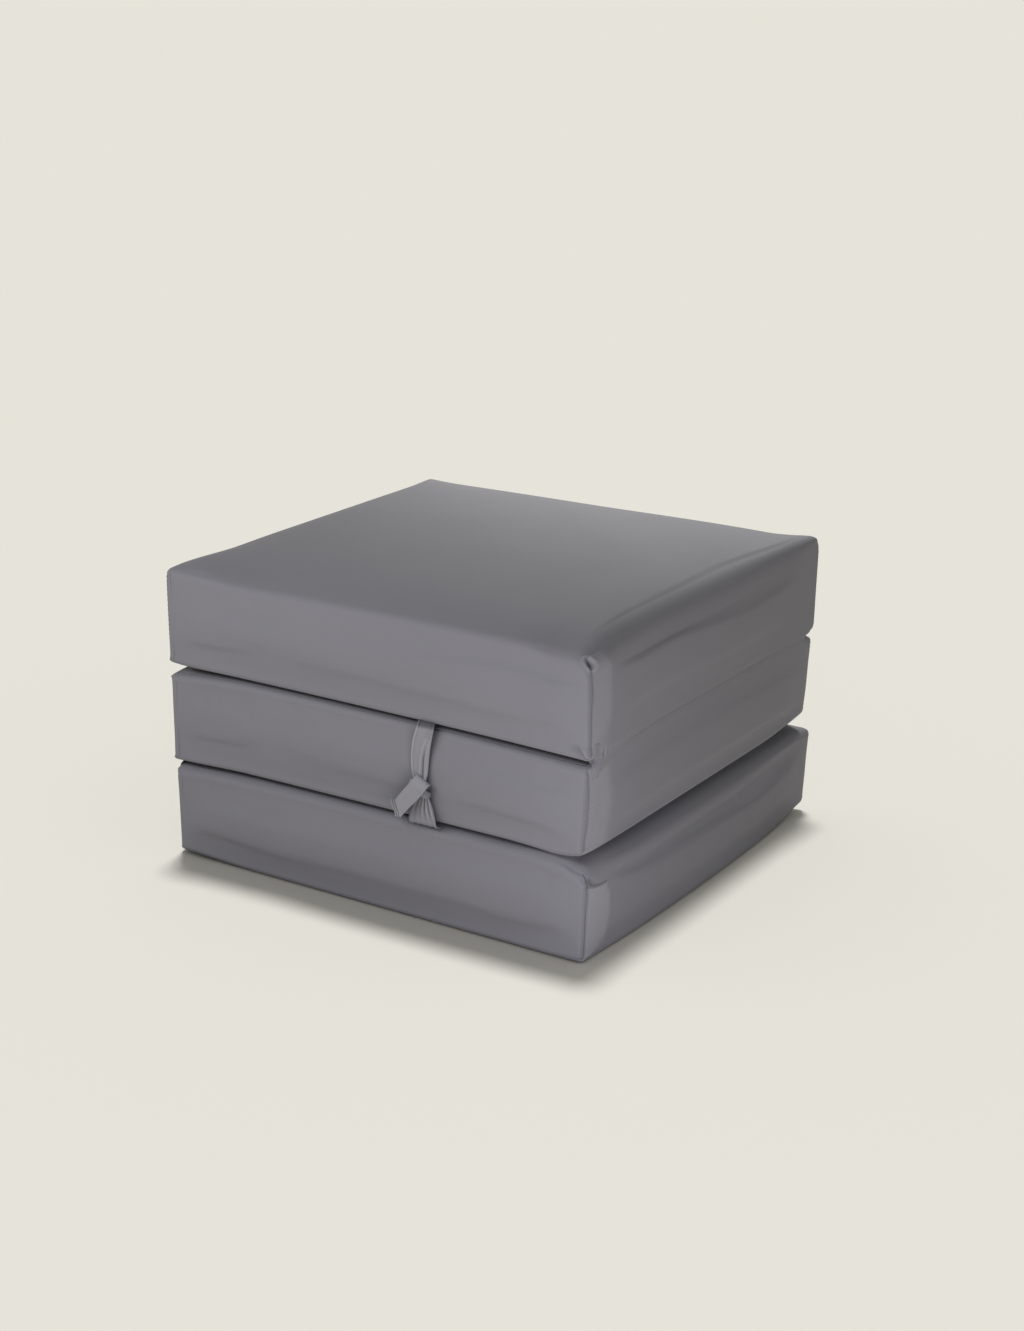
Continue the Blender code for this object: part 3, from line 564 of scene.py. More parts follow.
def cover_form(name, left):
    """Centre plus direction times radius, the radius growing from base to hood, then bellies and crown."""
    tangents = np.tan(angles)
    hood_round, crown = HOOD_ROUNDS[name], CROWNS[name]
    soft = (fade(lay[:, 0], reach[0] - 0.100, reach[0] - 0.025)
            * (1 - fade(lay[:, 1], 0.080, reach[1] - 0.050)))
    hood_round = hood_round + (SOFT_ROUNDS.get(name, hood_round) - hood_round) * soft
    level_round = BASE_ROUND + (hood_round - BASE_ROUND) * (shares[:, 2] + 1) / 2
    upright = np.abs(tangents[:, 2])
    along_front, along_side = plan_rounds(tangents, left)
    radius = rows(along_front + (level_round - along_front) * upright,
                  along_side + (level_round - along_side) * upright, level_round)
    plan = (np.abs(tangents[:, :2]) ** CORNER_POWER).sum(axis=1) ** (1 / CORNER_POWER)
    out = tangents / np.hypot(plan, tangents[:, 2])[:, None]
    points = shares * (half - radius) + out * radius
    belly = 1 - shares[:, 2] ** 2
    along_x = 1 - shares[:, 0] ** 2
    along_y = 1 - shares[:, 1] ** 2
    front = (FRONT_SWELL * belly - EDGE_DRAW_IN * shares[:, 2] ** 2) * along_x
    flat_back = np.clip((np.abs(lay[:, 0]) - ZIP_HALF_LENGTH) / (reach[0] - ZIP_HALF_LENGTH), 0, 1)
    back = BACK_SWELL * belly * (1 - flat_back ** 2)
    points[:, 0] += out[:, 0] * SIDE_SWELL * belly * along_y
    points[:, 1] += out[:, 1] * np.where(out[:, 1] < 0, front, back)
    from_front = 1 - ((1 - shares[:, 1]) / 2) ** CROWN_STEEPNESS
    rise = from_front * (1 - CROWN_RIGHT_SHARE * np.clip(shares[:, 0], 0, 1) ** 4)
    crowned = rise + CROWN_BELLY_SHARE * along_x * along_y
    points[:, 2] += fade(out[:, 2], 0.0, 0.7) * crown * crowned + half[2]
    points[:, 2] += PANEL_DEPTH * (out[:, 2] < -0.999)
    return points


def cloth_places():
    """For each quad corner, the two lay coordinates that run along its side, in metres of cloth."""
    across = np.array([[1, 2], [0, 2], [0, 1]])[quad_axes]
    along_front, along_side = plan_rounds(np.tan(angles))
    rounds = rows(along_front, along_side, np.full(len(angles), ROUND_AT_REST))
    cloth = shares * (half - rounds) + angles * rounds
    return np.take_along_axis(cloth[quads], np.repeat(across[:, None, :], 4, axis=1), axis=2)


# %% [markdown]
# Used blocks aren't boxes any more. Where two of them meet, the edges of their faces curve away from each
# other, so that the line between them is a dark groove, and sewn corners stand out as ears or are drawn in.
# All of these move the finished form, by amounts chosen from the photograph.
#
# The first is a lift for each side of a face. The second is a short table of corners, in
# millimetres, that fades over a hand's breadth, and sooner along the back, where the zip is. The
# third is a sag of the upper gap towards the near corner, which grows with the square of the way.
# The last is a bulge of the lowest edge, where the weight of the pile has pressed the foam out.

# %% Worn edges and corners
EDGE_LIFTS = {("bottom", 1): (0.0, 11.0, 5.5, 2.0), ("middle", -1): (0.0, 7.0, 3.6, 2.0),
              ("middle", 1): (2.2, 0.0, 3.2, 2.0), ("top", -1): (2.2, 0.0, 2.8, 2.0)}
CORNER_MOVES = {
    ("top", 1): {(-1, -1): (-6, -6, 7), (1, -1): (4, 0, 0), (1, 1): (8, 17, 1)},
    ("top", -1): {(-1, -1): (-6, -6, 2), (1, -1): (4, -1, 0), (1, 1): (6, 12, 2)},
    ("middle", 1): {(-1, -1): (-5, -6, -3), (1, -1): (1, 0, 0), (1, 1): (4, 9, -1)},
    ("middle", -1): {(-1, -1): (-4, -8, 0), (1, -1): (-6, -1, -4), (1, 1): (-2, 4, 5)},
    ("bottom", 1): {(-1, -1): (-2, -7, 0), (1, -1): (0, 0, 7), (1, 1): (6, 12, 6)},
    ("bottom", -1): {(-1, -1): (-3, -4, 4), (1, -1): (-2, -3, 0), (1, 1): (2, 6, 12)}}
SAGS = {("top", -1): 7.0, ("middle", 1): 8.0}
SAG_DEPTH = 0.200
BULGES = {("bottom", -1): (9.0, 7.0)}
MILLI = 0.001
LIFT_DEPTH = 0.038
CORNER_DEPTH = 0.130
EAR_DEPTH = 0.040


def worn(name, place):
    """The move of each point of a block, from its lay coordinates in the pile: lifts, sag, bulge, corners."""
    move = np.zeros((len(place), 3))
    x, y, z = (place / reach).T
    ways = [(1 + x) * reach[0], (1 - x) * reach[0], (1 + y) * reach[1], (1 - y) * reach[1]]
    for level in (-1, 1):
        nearness = (1 + level * z) / 2
        lifts = EDGE_LIFTS.get((name, level), (0.0, 0.0, 0.0, 0.0))
        lift = sum(value * (1 - fade(way, 0.0, LIFT_DEPTH)) for value, way in zip(lifts, ways))
        move[:, 2] -= level * lift * fade(level * z, 0.0, 1.0)
        sag = SAGS.get((name, level), 0.0) * ((1 + x) / 2) ** 2 * (1 - fade(ways[2], 0.0, SAG_DEPTH))
        move[:, 2] -= sag * nearness
        aside, forward = BULGES.get((name, level), (0.0, 0.0))
        move[:, 0] += aside * (1 - y * y) * (1 - fade(ways[1], 0.0, CORNER_DEPTH)) * nearness
        move[:, 1] -= forward * (1 - x ** 4) * (1 - fade(ways[2], 0.0, CORNER_DEPTH)) * nearness
        for (side_x, side_y), (dx, dy, dz) in CORNER_MOVES[(name, level)].items():
            way_x, way_y = (1 - side_x * x) * reach[0], (1 - side_y * y) * reach[1]
            weight = (1 - fade(way_x, 0.0, CORNER_DEPTH)) * (1 - fade(way_y, 0.0, CORNER_DEPTH)) * nearness
            if side_y > 0:
                weight = weight * (1 - fade(way_x, 0.0, EAR_DEPTH))
            move += weight[:, None] * (dx, dy, dz)
    return move * MILLI


# %% [markdown]
# ## Letting the cloth settle
#
# Foam pushes its cover out, and the cover, cut a little large, finds its own soft waves. Waves
# could be painted on with noise, but cloth puts them where cloth really has them: along the
# edges and in the corners. So the cover runs as a Cloth for twenty frames, with air pressure in
# place of the foam and no gravity. The moves are then smoothed, because the lattice's own rows
# would show in them as fine lines, and capped, because real foam gives only a little. They fade
# out where the cover is held: at the hinges, at the zip, and where it lies against another block.

# %% Simulate the cover
PRESSURE = 1.6
SLACK = 0.010
MOST_MOVE = 0.0026
CLOTH_FRAMES = 20
SMOOTHINGS = 8


def smoothed(mesh, values, rounds):
    """Each point's value becomes the mean of its own and its neighbours' along the edges, round by round."""
    ends = np.empty(len(mesh.edges) * 2, np.int32)
    mesh.edges.foreach_get("vertices", ends)
    ends = ends.reshape(-1, 2)
    count = 1 + np.bincount(ends.ravel(), minlength=len(values))[:, None]
    for _ in range(rounds):
        total = values.copy()
        np.add.at(total, ends[:, 0], values[ends[:, 1]])
        np.add.at(total, ends[:, 1], values[ends[:, 0]])
        values = total / count
    return values


def settle(cover, free):
    """Runs the cover as cloth under pressure, caps each move, and scales it by how free the point is."""
    start = points_of(cover.data)
    cloth = cover.modifiers.new("Cloth", "CLOTH")
    rules = cloth.settings
    rules.quality = 5
    rules.mass = 0.3
    rules.tension_stiffness = rules.compression_stiffness = 20.0
    rules.shear_stiffness = 8.0
    rules.bending_stiffness = 0.6
    rules.air_damping = 4.0
    rules.use_pressure = True
    rules.uniform_pressure_force = PRESSURE
    rules.shrink_min = -SLACK
    rules.effector_weights.gravity = 0.0
    cloth.collision_settings.use_self_collision = False
    cloth.point_cache.frame_start, cloth.point_cache.frame_end = 1, CLOTH_FRAMES
    for moment in range(1, CLOTH_FRAMES + 1):
        bpy.context.scene.frame_set(moment)
    moved = points_of(cover.evaluated_get(bpy.context.evaluated_depsgraph_get()).data) - start
    cover.modifiers.clear()
    bpy.context.scene.frame_set(1)
    moved = smoothed(cover.data, moved, SMOOTHINGS)
    length = np.linalg.norm(moved, axis=1, keepdims=True)
    capped = moved * (MOST_MOVE * np.tanh(length / MOST_MOVE) / np.maximum(length, 1e-9))
    set_points(cover.data, start + capped * free[:, None])
    print(cover.name, "moved at most", round(float(length.max()), 4), "m before the cap")


# %% Build the covers
HINGE_REACH = 0.024
TIE_PLACE = (0.090, -0.3049)
HINGE_SIDES = {"bottom": ((-1, 1),), "middle": ((1, 1), (-1, -1)), "top": ((1, -1),)}
OPEN_HOOD = {"bottom": False, "middle": False, "top": True}


def freedom(name, spot):
    """How freely each point of the cover moves: not on the base, at the zip or at a hinge."""
    free = fade(spot[:, 2] + reach[2], 0.004, 0.020)
    if not OPEN_HOOD[name]:
        free *= fade(reach[2] - spot[:, 2], 0.004, 0.020)
    zip_way = np.hypot(np.clip(np.abs(spot[:, 0]) - ZIP_HALF_LENGTH, 0, None),
                       np.clip(np.abs(spot[:, 2]) - ZIP_HALF_HEIGHT, 0, None)) + reach[1] - spot[:, 1]
    free *= fade(zip_way, 0.004, 0.030)
    for side, level in HINGE_SIDES[name]:
        hinge_way = (reach[0] - side * spot[:, 0]) + (reach[2] - level * spot[:, 2])
        free *= fade(hinge_way, HINGE_REACH, 2.2 * HINGE_REACH)
    corner_way = (reach[0] - np.abs(spot[:, 0])) + (reach[1] - np.abs(spot[:, 1]))
    free *= 0.15 + 0.85 * fade(corner_way, 0.010, 0.060)
    if name == "middle":
        free *= 1 - bell(spot[:, 0] + TIE_PLACE[0], 0.050) * (spot[:, 1] < 0)
    return free


covers = {}
for name in NAMES:
    left = -1 if HOOD_UP[name] else 1
    points = to_pile(name, cover_form(name, left)) + worn(name, turned(name, lay))
    cover = add_piece(f"{name}_cover", points, quads, cloth_places(), cover_cloth)
    settle(cover, freedom(name, lay))
    stored = cover.data.attributes.new("lay", "FLOAT_VECTOR", "POINT")
    stored.data.foreach_set("vector", lay.astype(np.float32).ravel())
    refine(cover)
    covers[name] = cover
    print(cover.name, len(cover.data.polygons), "quads")

# %% [markdown]
# ## Sewn corners
#
# The hood is cut as one sleeping face with four walls, and each pair of walls is sewn together up
# the corner. The seam allowance is inside, so from outside the seam is a fine sunk line with
# small puckers on both sides, where the thread has drawn the cloth up. It lies where the front
# wall ends, and the side wall bends round the foam from there, which is why it is set at a
# small angle into the rounding and not on its middle.
#
# Both are heights over the cloth, as functions of the way to the seam and the way along it, and the sunk line
# is painted darker as well, as painted shade. The way is measured in the lay coordinates, which are a point's
# place on the flat cut.

# %% Corner seams
SEAM_DEPTH, SEAM_WIDTH, SEAM_WANDER = 0.0008, 0.0007, 0.0005
PUCKER_HEIGHT, PUCKER_PITCH, PUCKER_REACH = 0.00022, 0.0065, 0.0070
SEAM_INSET = math.radians(45.0 - SEAM_ANGLE) * ROUND_AT_REST


def corner_seams(spot):
    """Height and painted shade of the corner seams: a sunk line painted darker, and a wave along it that
    fades off it.
    """
    beside = reach[0] - SEAM_INSET - np.abs(spot[:, 0])
    corner = np.sign(spot[:, 0]) + 2 * np.sign(spot[:, 1])
    uneven = ripple(spot * (0, 0, 1) + corner[:, None] * (0.31, 0, 0.17), 0.045, 5)
    way = np.abs(beside + SEAM_WANDER * uneven) + (reach[1] - np.abs(spot[:, 1]))
    gather = 0.55 + 0.45 * np.clip(uneven, -1, 1) + 0.9 * fade(np.abs(spot[:, 2]), 0.035, 0.060)
    phase = 2 * np.pi * spot[:, 2] / PUCKER_PITCH + 1.3 * uneven + corner
    pucker = np.sin(phase + np.where(beside > 0, 0.0, 1.1)) * bell(way, PUCKER_REACH) * gather
    line = bell(way, SEAM_WIDTH)
    return PUCKER_HEIGHT * pucker - SEAM_DEPTH * line, (0.75 + 0.25 * np.clip(uneven, -1, 1)) * line


# %% [markdown]
# Where a front seam ends, the cloth has nowhere to go, and each block shows it in its own way: a pinched pit,
# a flap folded over, or a fold round a taut flap. Beside a seam that pulls, the cloth is drawn flat, and a
# painted highlight is laid along it. Each of these effects gives a rise and a painted shade for every point,
# a painted highlight where it is below zero, so a block simply adds up the ones it has.

# %% Pinch, tuck, comma and painted highlight strip
def hood_pinch(spot):
    """Where a seam runs out on the sleeping face: a small pit with a raised rim round it, painted dark in the
    pit and light on the rim.
    """
    across = np.abs(reach[0] - SEAM_INSET - np.abs(spot[:, 0])) + (reach[1] - np.abs(spot[:, 1]))
    way = np.hypot(across, spot[:, 2] - (reach[2] - 0.0030))
    rim = 1 + 0.45 * np.sin(9 * spot[:, 0] / 0.004)
    here = (spot[:, 0] > 0) & (spot[:, 1] < 0)
    rise = 0.0018 * rim * bell(way - 0.0038, 0.0014) - 0.0024 * bell(way, 0.0019)
    return rise * here, (1.3 * bell(way, 0.0018) - 0.40 * bell(way - 0.0042, 0.0011)) * here


def lower_tuck(spot):
    """Beside a front seam's lower end: a flap that folds over, bounded by a line at half a right angle, with
    painted shade beside it and a painted highlight along its fold.
    """
    beside, up = reach[0] - spot[:, 0], reach[2] + spot[:, 2]
    past = (up - beside) / math.sqrt(2)
    front = (1 - fade(reach[1] + spot[:, 1], 0.0, 0.002)) * (1 - fade(up, 0.014, 0.021))
    flap = 0.0026 * fade(past, -0.0006, 0.0010) * (1 - fade(past, 0.003, 0.014))
    shade = 0.55 * fade(past, -0.0140, -0.0010) * (past < 0)
    rise = flap - 0.0016 * bell(past + 0.004, 0.003)
    return rise * front, (shade - 0.20 * bell(past - 0.0020, 0.0016)) * front


COMMA_DOWN = (0.0, 0.010, 0.020, 0.028, 0.055, 0.080, 0.098, 0.112, 0.125)
COMMA_ASIDE = (0.0, 0.0010, 0.0045, 0.012, 0.020, 0.021, 0.016, 0.007, 0.0)


def comma_crease(spot):
    """On the side wall below the lowest hood corner: a fold line painted dark, that bends away round a taut
    flap with a painted highlight.
    """
    aside, down = reach[1] + spot[:, 1], reach[2] - spot[:, 2]
    route, lower = [np.interp(down + step, COMMA_DOWN, COMMA_ASIDE) for step in (0.0, 0.001)]
    past = (aside - route) / np.hypot(1.0, (lower - route) / 0.001)
    side = (spot[:, 0] > reach[0] - 0.001) & (spot[:, 1] < 0)
    stroke = fade(down, 0.002, 0.006) * (1 - fade(down, 0.026, 0.036)) * side
    soft_end = 0.0020 + 0.10 * np.clip(down - 0.030, 0, 0.050)
    flap = (1 - fade(past, -0.0025, soft_end)) * fade(down, 0.012, 0.018) * side
    rise = 0.0012 * flap + stroke * (0.0008 * bell(past + 0.003, 0.0026) - 0.0014 * bell(past, 0.0016))
    return rise, 0.9 * bell(past - 0.0006, 0.0012) * stroke - 0.75 * flap


# How much the painted highlight beside a taut seam lightens the colour.
SEAM_SIDE_HIGHLIGHT = 0.55


def seam_highlight_strip(width):
    """Beside the near seam of a side wall the cloth is drawn taut: a painted highlight that fades with the
    way off the seam.
    """
    def strip(spot):
        side = (np.abs(spot[:, 0]) > reach[0] - 0.001) & (spot[:, 1] < 0)
        aside = reach[1] + spot[:, 1] + 0.004 * ripple(spot * (0, 0, 1), 0.060, 31)
        return np.zeros(len(spot)), -SEAM_SIDE_HIGHLIGHT * side * (1 - fade(aside, 0.4 * width, 1.3 * width))
    return strip


SEAM_HIGHLIGHT_WIDTHS = {"middle": 0.026, "top": 0.015}
CORNER_DETAILS = {"bottom": (comma_crease,), "middle": (seam_highlight_strip(SEAM_HIGHLIGHT_WIDTHS["middle"]),),
                  "top": (seam_highlight_strip(SEAM_HIGHLIGHT_WIDTHS["top"]), hood_pinch, lower_tuck)}


# %% [markdown]
# Two things press into a cover from outside: the zip, whose opening is a step down with a stitched
# hem round it, and the tie, which is drawn tight over the middle block's front.
#
# A hinged wall mustn't reach past the plane of its fold, or the two blocks would cut into each
# other when the bed lies open. So it is kept short of that plane by a smooth limit, which leaves
# the wall as it is wherever it has room.

# %% Zip opening, strap dent and room at the folds
STRAP_DENT = 0.0026
STRAP_ROUTE = [(0.0872, -0.2925, 0.2674), (0.0900, -0.2985, 0.2660), (0.0914, -0.3022, 0.2618),
               (0.0903, -0.3034, 0.2560), (0.0877, -0.3040, 0.2450), (0.0856, -0.3044, 0.2310),
               (0.0850, -0.3050, 0.2180), (0.0855, -0.3062, 0.2060), (0.0866, -0.3082, 0.1950)]
FOLD_X = 0.3284
FOLD_SOFT = 0.0020
FOLD_SIDES = {"bottom": (-1,), "middle": (-1, 1), "top": (1,)}


def zip_opening(spot):
    """Height and painted shade of the zip's opening: a step down behind the tapes, with a rolled hem whose
    sunk stitch line is painted darker.
    """
    beyond = np.maximum(np.abs(spot[:, 0]) - ZIP_HALF_LENGTH, np.abs(spot[:, 2]) - ZIP_HALF_HEIGHT)
    beyond = beyond + 10 * (reach[1] - spot[:, 1])
    inside = 1 - fade(beyond, -0.0005, 0.0015)
    hem = bell(beyond - 0.0030, 0.0018)
    stitch = bell(beyond - 0.0052, 0.0008)
    return 0.0004 * hem - 0.0030 * inside - 0.0004 * stitch, 0.5 * stitch


def strap_dent(name, points):
    """The middle block's front is pressed in under the tie: a flat bell across the tie's route."""
    if name != "middle":
        return np.zeros(len(points))
    route = np.array(STRAP_ROUTE[::-1])
    across = points[:, 0] - np.interp(points[:, 2], route[:, 2], route[:, 0])
    level = fade(points[:, 2], 0.140, 0.185) * (points[:, 1] < -0.29)
    return -STRAP_DENT * np.exp(-(across / 0.0165) ** 4) * level


def leave_room(sides, points):
    """Keeps hinged walls short of their fold's plane: room r becomes (r + root(r^2 + soft^2)) / 2."""
    for side in sides:
        room = FOLD_X - side * points[:, 0]
        points[:, 0] = side * (FOLD_X - (room + np.sqrt(room ** 2 + FOLD_SOFT ** 2)) / 2)
    return points


# %% Give each cover its details
for name, cover in covers.items():
    spot = rows_of(cover.data.attributes["lay"].data)
    details = [effect(spot) for effect in (corner_seams, zip_opening, *CORNER_DETAILS[name])]
    rise = sum(row[0] for row in details) + strap_dent(name, points_of(cover.data))
    painted_shading = sum(row[1] for row in details)
    raised = points_of(cover.data) + rows_of(cover.data.vertex_normals) * rise[:, None]
    set_points(cover.data, leave_room(FOLD_SIDES[name], raised))
    set_painted_shading(cover, painted_shading)
    cover.data.attributes.remove(cover.data.attributes["lay"])
    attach(cover, f"{name}_block")
    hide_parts(f"{name}_foam", f"{name}_hood")
    print(cover.name, "details:", round(float(rise.min()), 5), "to", round(float(rise.max()), 5), "m")

# %% [markdown]
# ## Cloth over the folds
#
# At each fold one strip of the cover's cloth is sewn across the two walls, so from outside the
# wall runs on over the gap with only a shallow crease. The strip is a closed sheet. Its outer
# face follows the walls' belly, lifted by half a millimetre in the middle and sunk below them at
# its edges, so that no edge shows. At its two ends it dips into the groove between the blocks.
#
# It crosses a joint, so its shape is blended: the part on one side of the fold takes the worn moves of one
# block, the part on the other side those of the other, mixed over the few millimetres between them. Near its
# front end, just above the fold, the cloth is gathered into small pleats.
# The fold line is painted darker, the pleats lighter on their crests and darker between them, and the upper
# strip carries the same painted highlight beside the near seam as the walls.

# %% Hinge strips
STRIP_HALF_WIDTH = 0.024
STRIP_END = 0.286
STRIP_LIFT, STRIP_SUNK, STRIP_CREASE = 0.0005, 0.0005, 0.0007
STRIP_THICKNESS = 0.0011
STRIP_DIP = 0.018
PLEAT_HEIGHT, PLEAT_PITCH = 0.0030, 0.0080


def lattice_piece(name, counts, place, material, fine=True):
    """A closed piece from a box lattice: place(u, v, w), each 0 to 1, gives points, cloth places and painted
    shade.
    """
    index, faces, axes = lattice_shell(counts)
    unit = index / (np.array(counts) - 1.0)
    points, cloth, painted_shading = place(unit[:, 0], unit[:, 1], unit[:, 2])
    piece = add_piece(name, points, faces, cloth[faces], material)
    set_painted_shading(piece, painted_shading)
    if fine:
        refine(piece)
    return piece


def hinge_strip(name, side, fold, rounds, blocks):
    """A strip over one fold: the walls' belly, plus a lift that ends below them, less its ends' groove; its
    fold line and pleats carry painted shade and highlights.
    """
    below, above = rounds

    def place(u, v, w):
        y = (2 * u - 1) * STRIP_END
        up = (2 * v - 1) * STRIP_HALF_WIDTH
        block_round = np.where(up < 0, below, above)
        share = -1 + np.clip(np.abs(up) - block_round, 0, None) / (half[2] - block_round)
        wall = SIDE_SWELL * (1 - share ** 2) * (1 - (y / half[1]) ** 2)
        inward = np.clip(block_round - np.abs(up), 0, None)
        groove = block_round - np.sqrt(block_round ** 2 - inward ** 2)
        open_share = fade(STRIP_END - np.abs(y), 0.0, STRIP_DIP)
        edge = fade(STRIP_HALF_WIDTH - np.abs(up), 0.0, 0.018)
        lift = (STRIP_LIFT + STRIP_SUNK) * edge * open_share - STRIP_SUNK
        waver = 1 + 0.35 * ripple(rows(y, 0 * y, 0 * y), 0.09, 11)
        lift = lift - STRIP_CREASE * waver * bell(up, 0.0060) * open_share
        from_end = STRIP_END + side * y
        gathered = fade(from_end, 0.002, 0.008) * (1 - fade(from_end, 0.036, 0.050))
        pleats = np.clip(np.sin(2 * np.pi * (y + 0.002 * np.sin(y / 0.004)) / PLEAT_PITCH), -0.5, 1)
        gathered = gathered * fade(up, 0.000, 0.004) * (1 - fade(up, 0.012, 0.023))
        lift = lift + PLEAT_HEIGHT * gathered * pleats
        x = half[0] + wall + lift - groove * (1 - open_share) - STRIP_THICKNESS * (1 - w)
        moves = [worn(block, rows(side * reach[0] + 0 * y, side * y, level * (np.abs(up) - reach[2])))
                 for block, level in zip(blocks, (-1, 1))]
        share = fade(up, -0.004, 0.004)[:, None]
        move = (moves[0] * (1 - share) + moves[1] * share) * (1, 1, 0)
        # Painted shade on the fold line and between the pleats, painted highlights on the pleat crests and,
        # on the upper strip, beside the near seam.
        painted_shading = 0.35 * bell(up, 0.0012) * open_share - 0.9 * gathered * pleats
        if side > 0:
            width = np.where(up < 0, SEAM_HIGHLIGHT_WIDTHS["middle"], SEAM_HIGHLIGHT_WIDTHS["top"])
            painted_shading = painted_shading - SEAM_SIDE_HIGHLIGHT * (1 - fade(half[1] + y, 0.4 * width, 1.3 * width))
        depth = MILLI * SAGS.get((blocks[1], -1), 0.0)
        sag = depth * (1 - fade(half[1] + side * y, 0.0, SAG_DEPTH)) * (side > 0)
        points = rows(side * x, side * y, fold + up - sag) + move
        return leave_room((side,), points), rows(y, up), painted_shading
    strip = lattice_piece(name, (241, 25, 2), place, cover_cloth)
    print(name, len(strip.data.polygons), "quads")
    return strip


folds = {"lower": base_z["bottom"] + height + gap / 2, "upper": (base_z["middle"] + base_z["top"]) / 2}
strips = {"upper": (1, (BASE_ROUND, BASE_ROUND), ("middle", "top")),
          "lower": (-1, (HOOD_ROUNDS["bottom"], HOOD_ROUNDS["middle"]), ("bottom", "middle"))}
for name, (side, rounds, blocks) in strips.items():
    fold = folds[name]
    strip = hinge_strip(f"{name}_hinge_strip", side, fold, rounds, blocks)
    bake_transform(strip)
    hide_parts(*[f"{name}_hinge_{block}_leaf" for block in blocks])

# %% [markdown]
# ## Base panels
#
# A second, plainer cloth closes each block's underside. It is sewn in all round, so it shows a
# row of stitches in a shallow groove near its edge and is faintly quilted by the seam behind it.

# %% Base panels
PANEL_GAP = 0.0004
PANEL_THICKNESS = 0.0015
STITCH_INSET, STITCH_PITCH = 0.005, 0.0032
base_cloth = cloth_material("base_cloth", (0.168, 0.165, 0.178), 1600.0, slub=0.09, drift=0.05, sheen=0.03)
panel_half = half[:2] - BASE_ROUND - PANEL_GAP


def panel_place(name):
    """A block's panel: flat, with a groove along its border and a row of stitches in it, drawn as darker
    dashes at each pitch.
    """
    def place(u, v, w):
        x, y = (2 * u - 1) * panel_half[0], (2 * v - 1) * panel_half[1]
        inset = np.minimum(panel_half[0] - np.abs(x), panel_half[1] - np.abs(y))
        groove = 0.0007 * bell(inset - STITCH_INSET, 0.0022)
        waves = 0.0003 * ripple(rows(x, y, 0 * x), 0.10, 23) * fade(inset, 0.005, 0.03)
        z = (0.0004 + groove + waves * 0.5) * (1 - w) + w * (PANEL_THICKNESS + 0.0004)
        stitch = bell(inset - STITCH_INSET, 0.0006) * (np.sin(2 * np.pi * (x + y) / STITCH_PITCH) > -0.3)
        spot = rows(x * reach[0] / half[0], y * reach[1] / half[1], 0 * x - reach[2])
        points = to_pile(name, rows(x, y, z)) + worn(name, turned(name, spot))
        return points, rows(x, y), 0.6 * stitch
    return place


for name in NAMES:
    panel = lattice_piece(f"{name}_base_cloth", (103, 95, 2), panel_place(name), base_cloth)
    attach(panel, f"{name}_block")
    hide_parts(f"{name}_base_panel")
    print(panel.name, len(panel.data.polygons), "quads")

# %% [markdown]
# ## The ties
#
# A tie is a hemmed band of the cover's cloth. The upper one comes out from under the top block,
# the lower one from the top edge of the bottom block, and they are knotted on the middle of the
# front. A band could be a curve with a bevel, but then it has the same section all along. Here it
# is a section carried along a route: at each point of the route there is a direction across the
# band, a width, and a relief, which gives the hems, ridges and gathers their height.
# The relief also gives each band its painted shade in hollows, folds and the gap, and its painted highlights
# on crests and ridges.

# %% Bands
def smooth_path(points, count):
    """A Catmull-Rom curve: a cubic between each two points, its slope half the step between neighbours."""
    points = np.asarray(points, float)
    points = points.reshape(len(points), -1)
    padded = np.concatenate([2 * points[:1] - points[1:2], points, 2 * points[-1:] - points[-2:-1]])
    way = np.linspace(0, len(points) - 1, count)
    first = np.minimum(way.astype(int), len(points) - 2)
    t = (way - first)[:, None]
    a, b, c, d = (padded[first + step] for step in range(4))
    return b + 0.5 * t * (c - a + t * (2 * a - 5 * b + 4 * c - d + t * (3 * b - a - 3 * c + d)))


def unit_rows(vectors):
    """Each row of an array divided by its length."""
    return vectors / np.linalg.norm(vectors, axis=1, keepdims=True)


def band(name, route, across, widths, thickness, relief, counts):
    """A band: route plus across times half the width, raised by the relief and, outside, the thickness."""
    centre = smooth_path(route, counts[0])
    side = unit_rows(smooth_path(across, counts[0]))
    wide = smooth_path(widths, counts[0])[:, 0]
    out = unit_rows(np.cross(np.gradient(centre, axis=0), side))
    way = np.concatenate([[0.0], np.cumsum(np.linalg.norm(np.diff(centre, axis=0), axis=1))])

    def place(u, v, w):
        row = np.rint(u * (counts[0] - 1)).astype(int)
        a = 2 * v - 1
        lift, painted_shading = relief(way[row], a, way[-1])
        points = centre[row] + side[row] * (a * wide[row] / 2)[:, None]
        points = points + out[row] * (w * thickness + lift)[:, None]
        return points, rows(way[row], a * wide[row] / 2), painted_shading * (w > 0.5)
    piece = lattice_piece(name, (*counts, 2), place, tie_cloth)
    print(name, "is", round(float(way[-1]), 4), "m long and", round(float(wide.max()), 4), "m wide")
    return piece


tie_cloth = cloth_material("tie_cloth", (0.215, 0.212, 0.230), 2200.0, slub=0.06, drift=0.04)
BAND_THICKNESS = 0.0015
HEM_HEIGHT = 0.00035


def hems(a):
    """The hem along both edges of a band: a low step, with a stitch line sunk beside it."""
    inset = 1 - np.abs(a)
    return HEM_HEIGHT * (1 - fade(inset, 0.20, 0.27)) - 0.0002 * bell(inset - 0.27, 0.035)


# %% The upper tie
RIDGE_WAYS = (0.025, 0.036, 0.052, 0.073)
RIDGE_PLACES = ((0.38, 0.24, 0.10, 0.02), (0.86, 0.74, 0.66, 0.72))
RIDGE_HEIGHT, RIDGE_WIDTH = 0.0015, 0.13
STITCH_ROW, STITCH_ROW_LEFT = 0.0235, 0.15


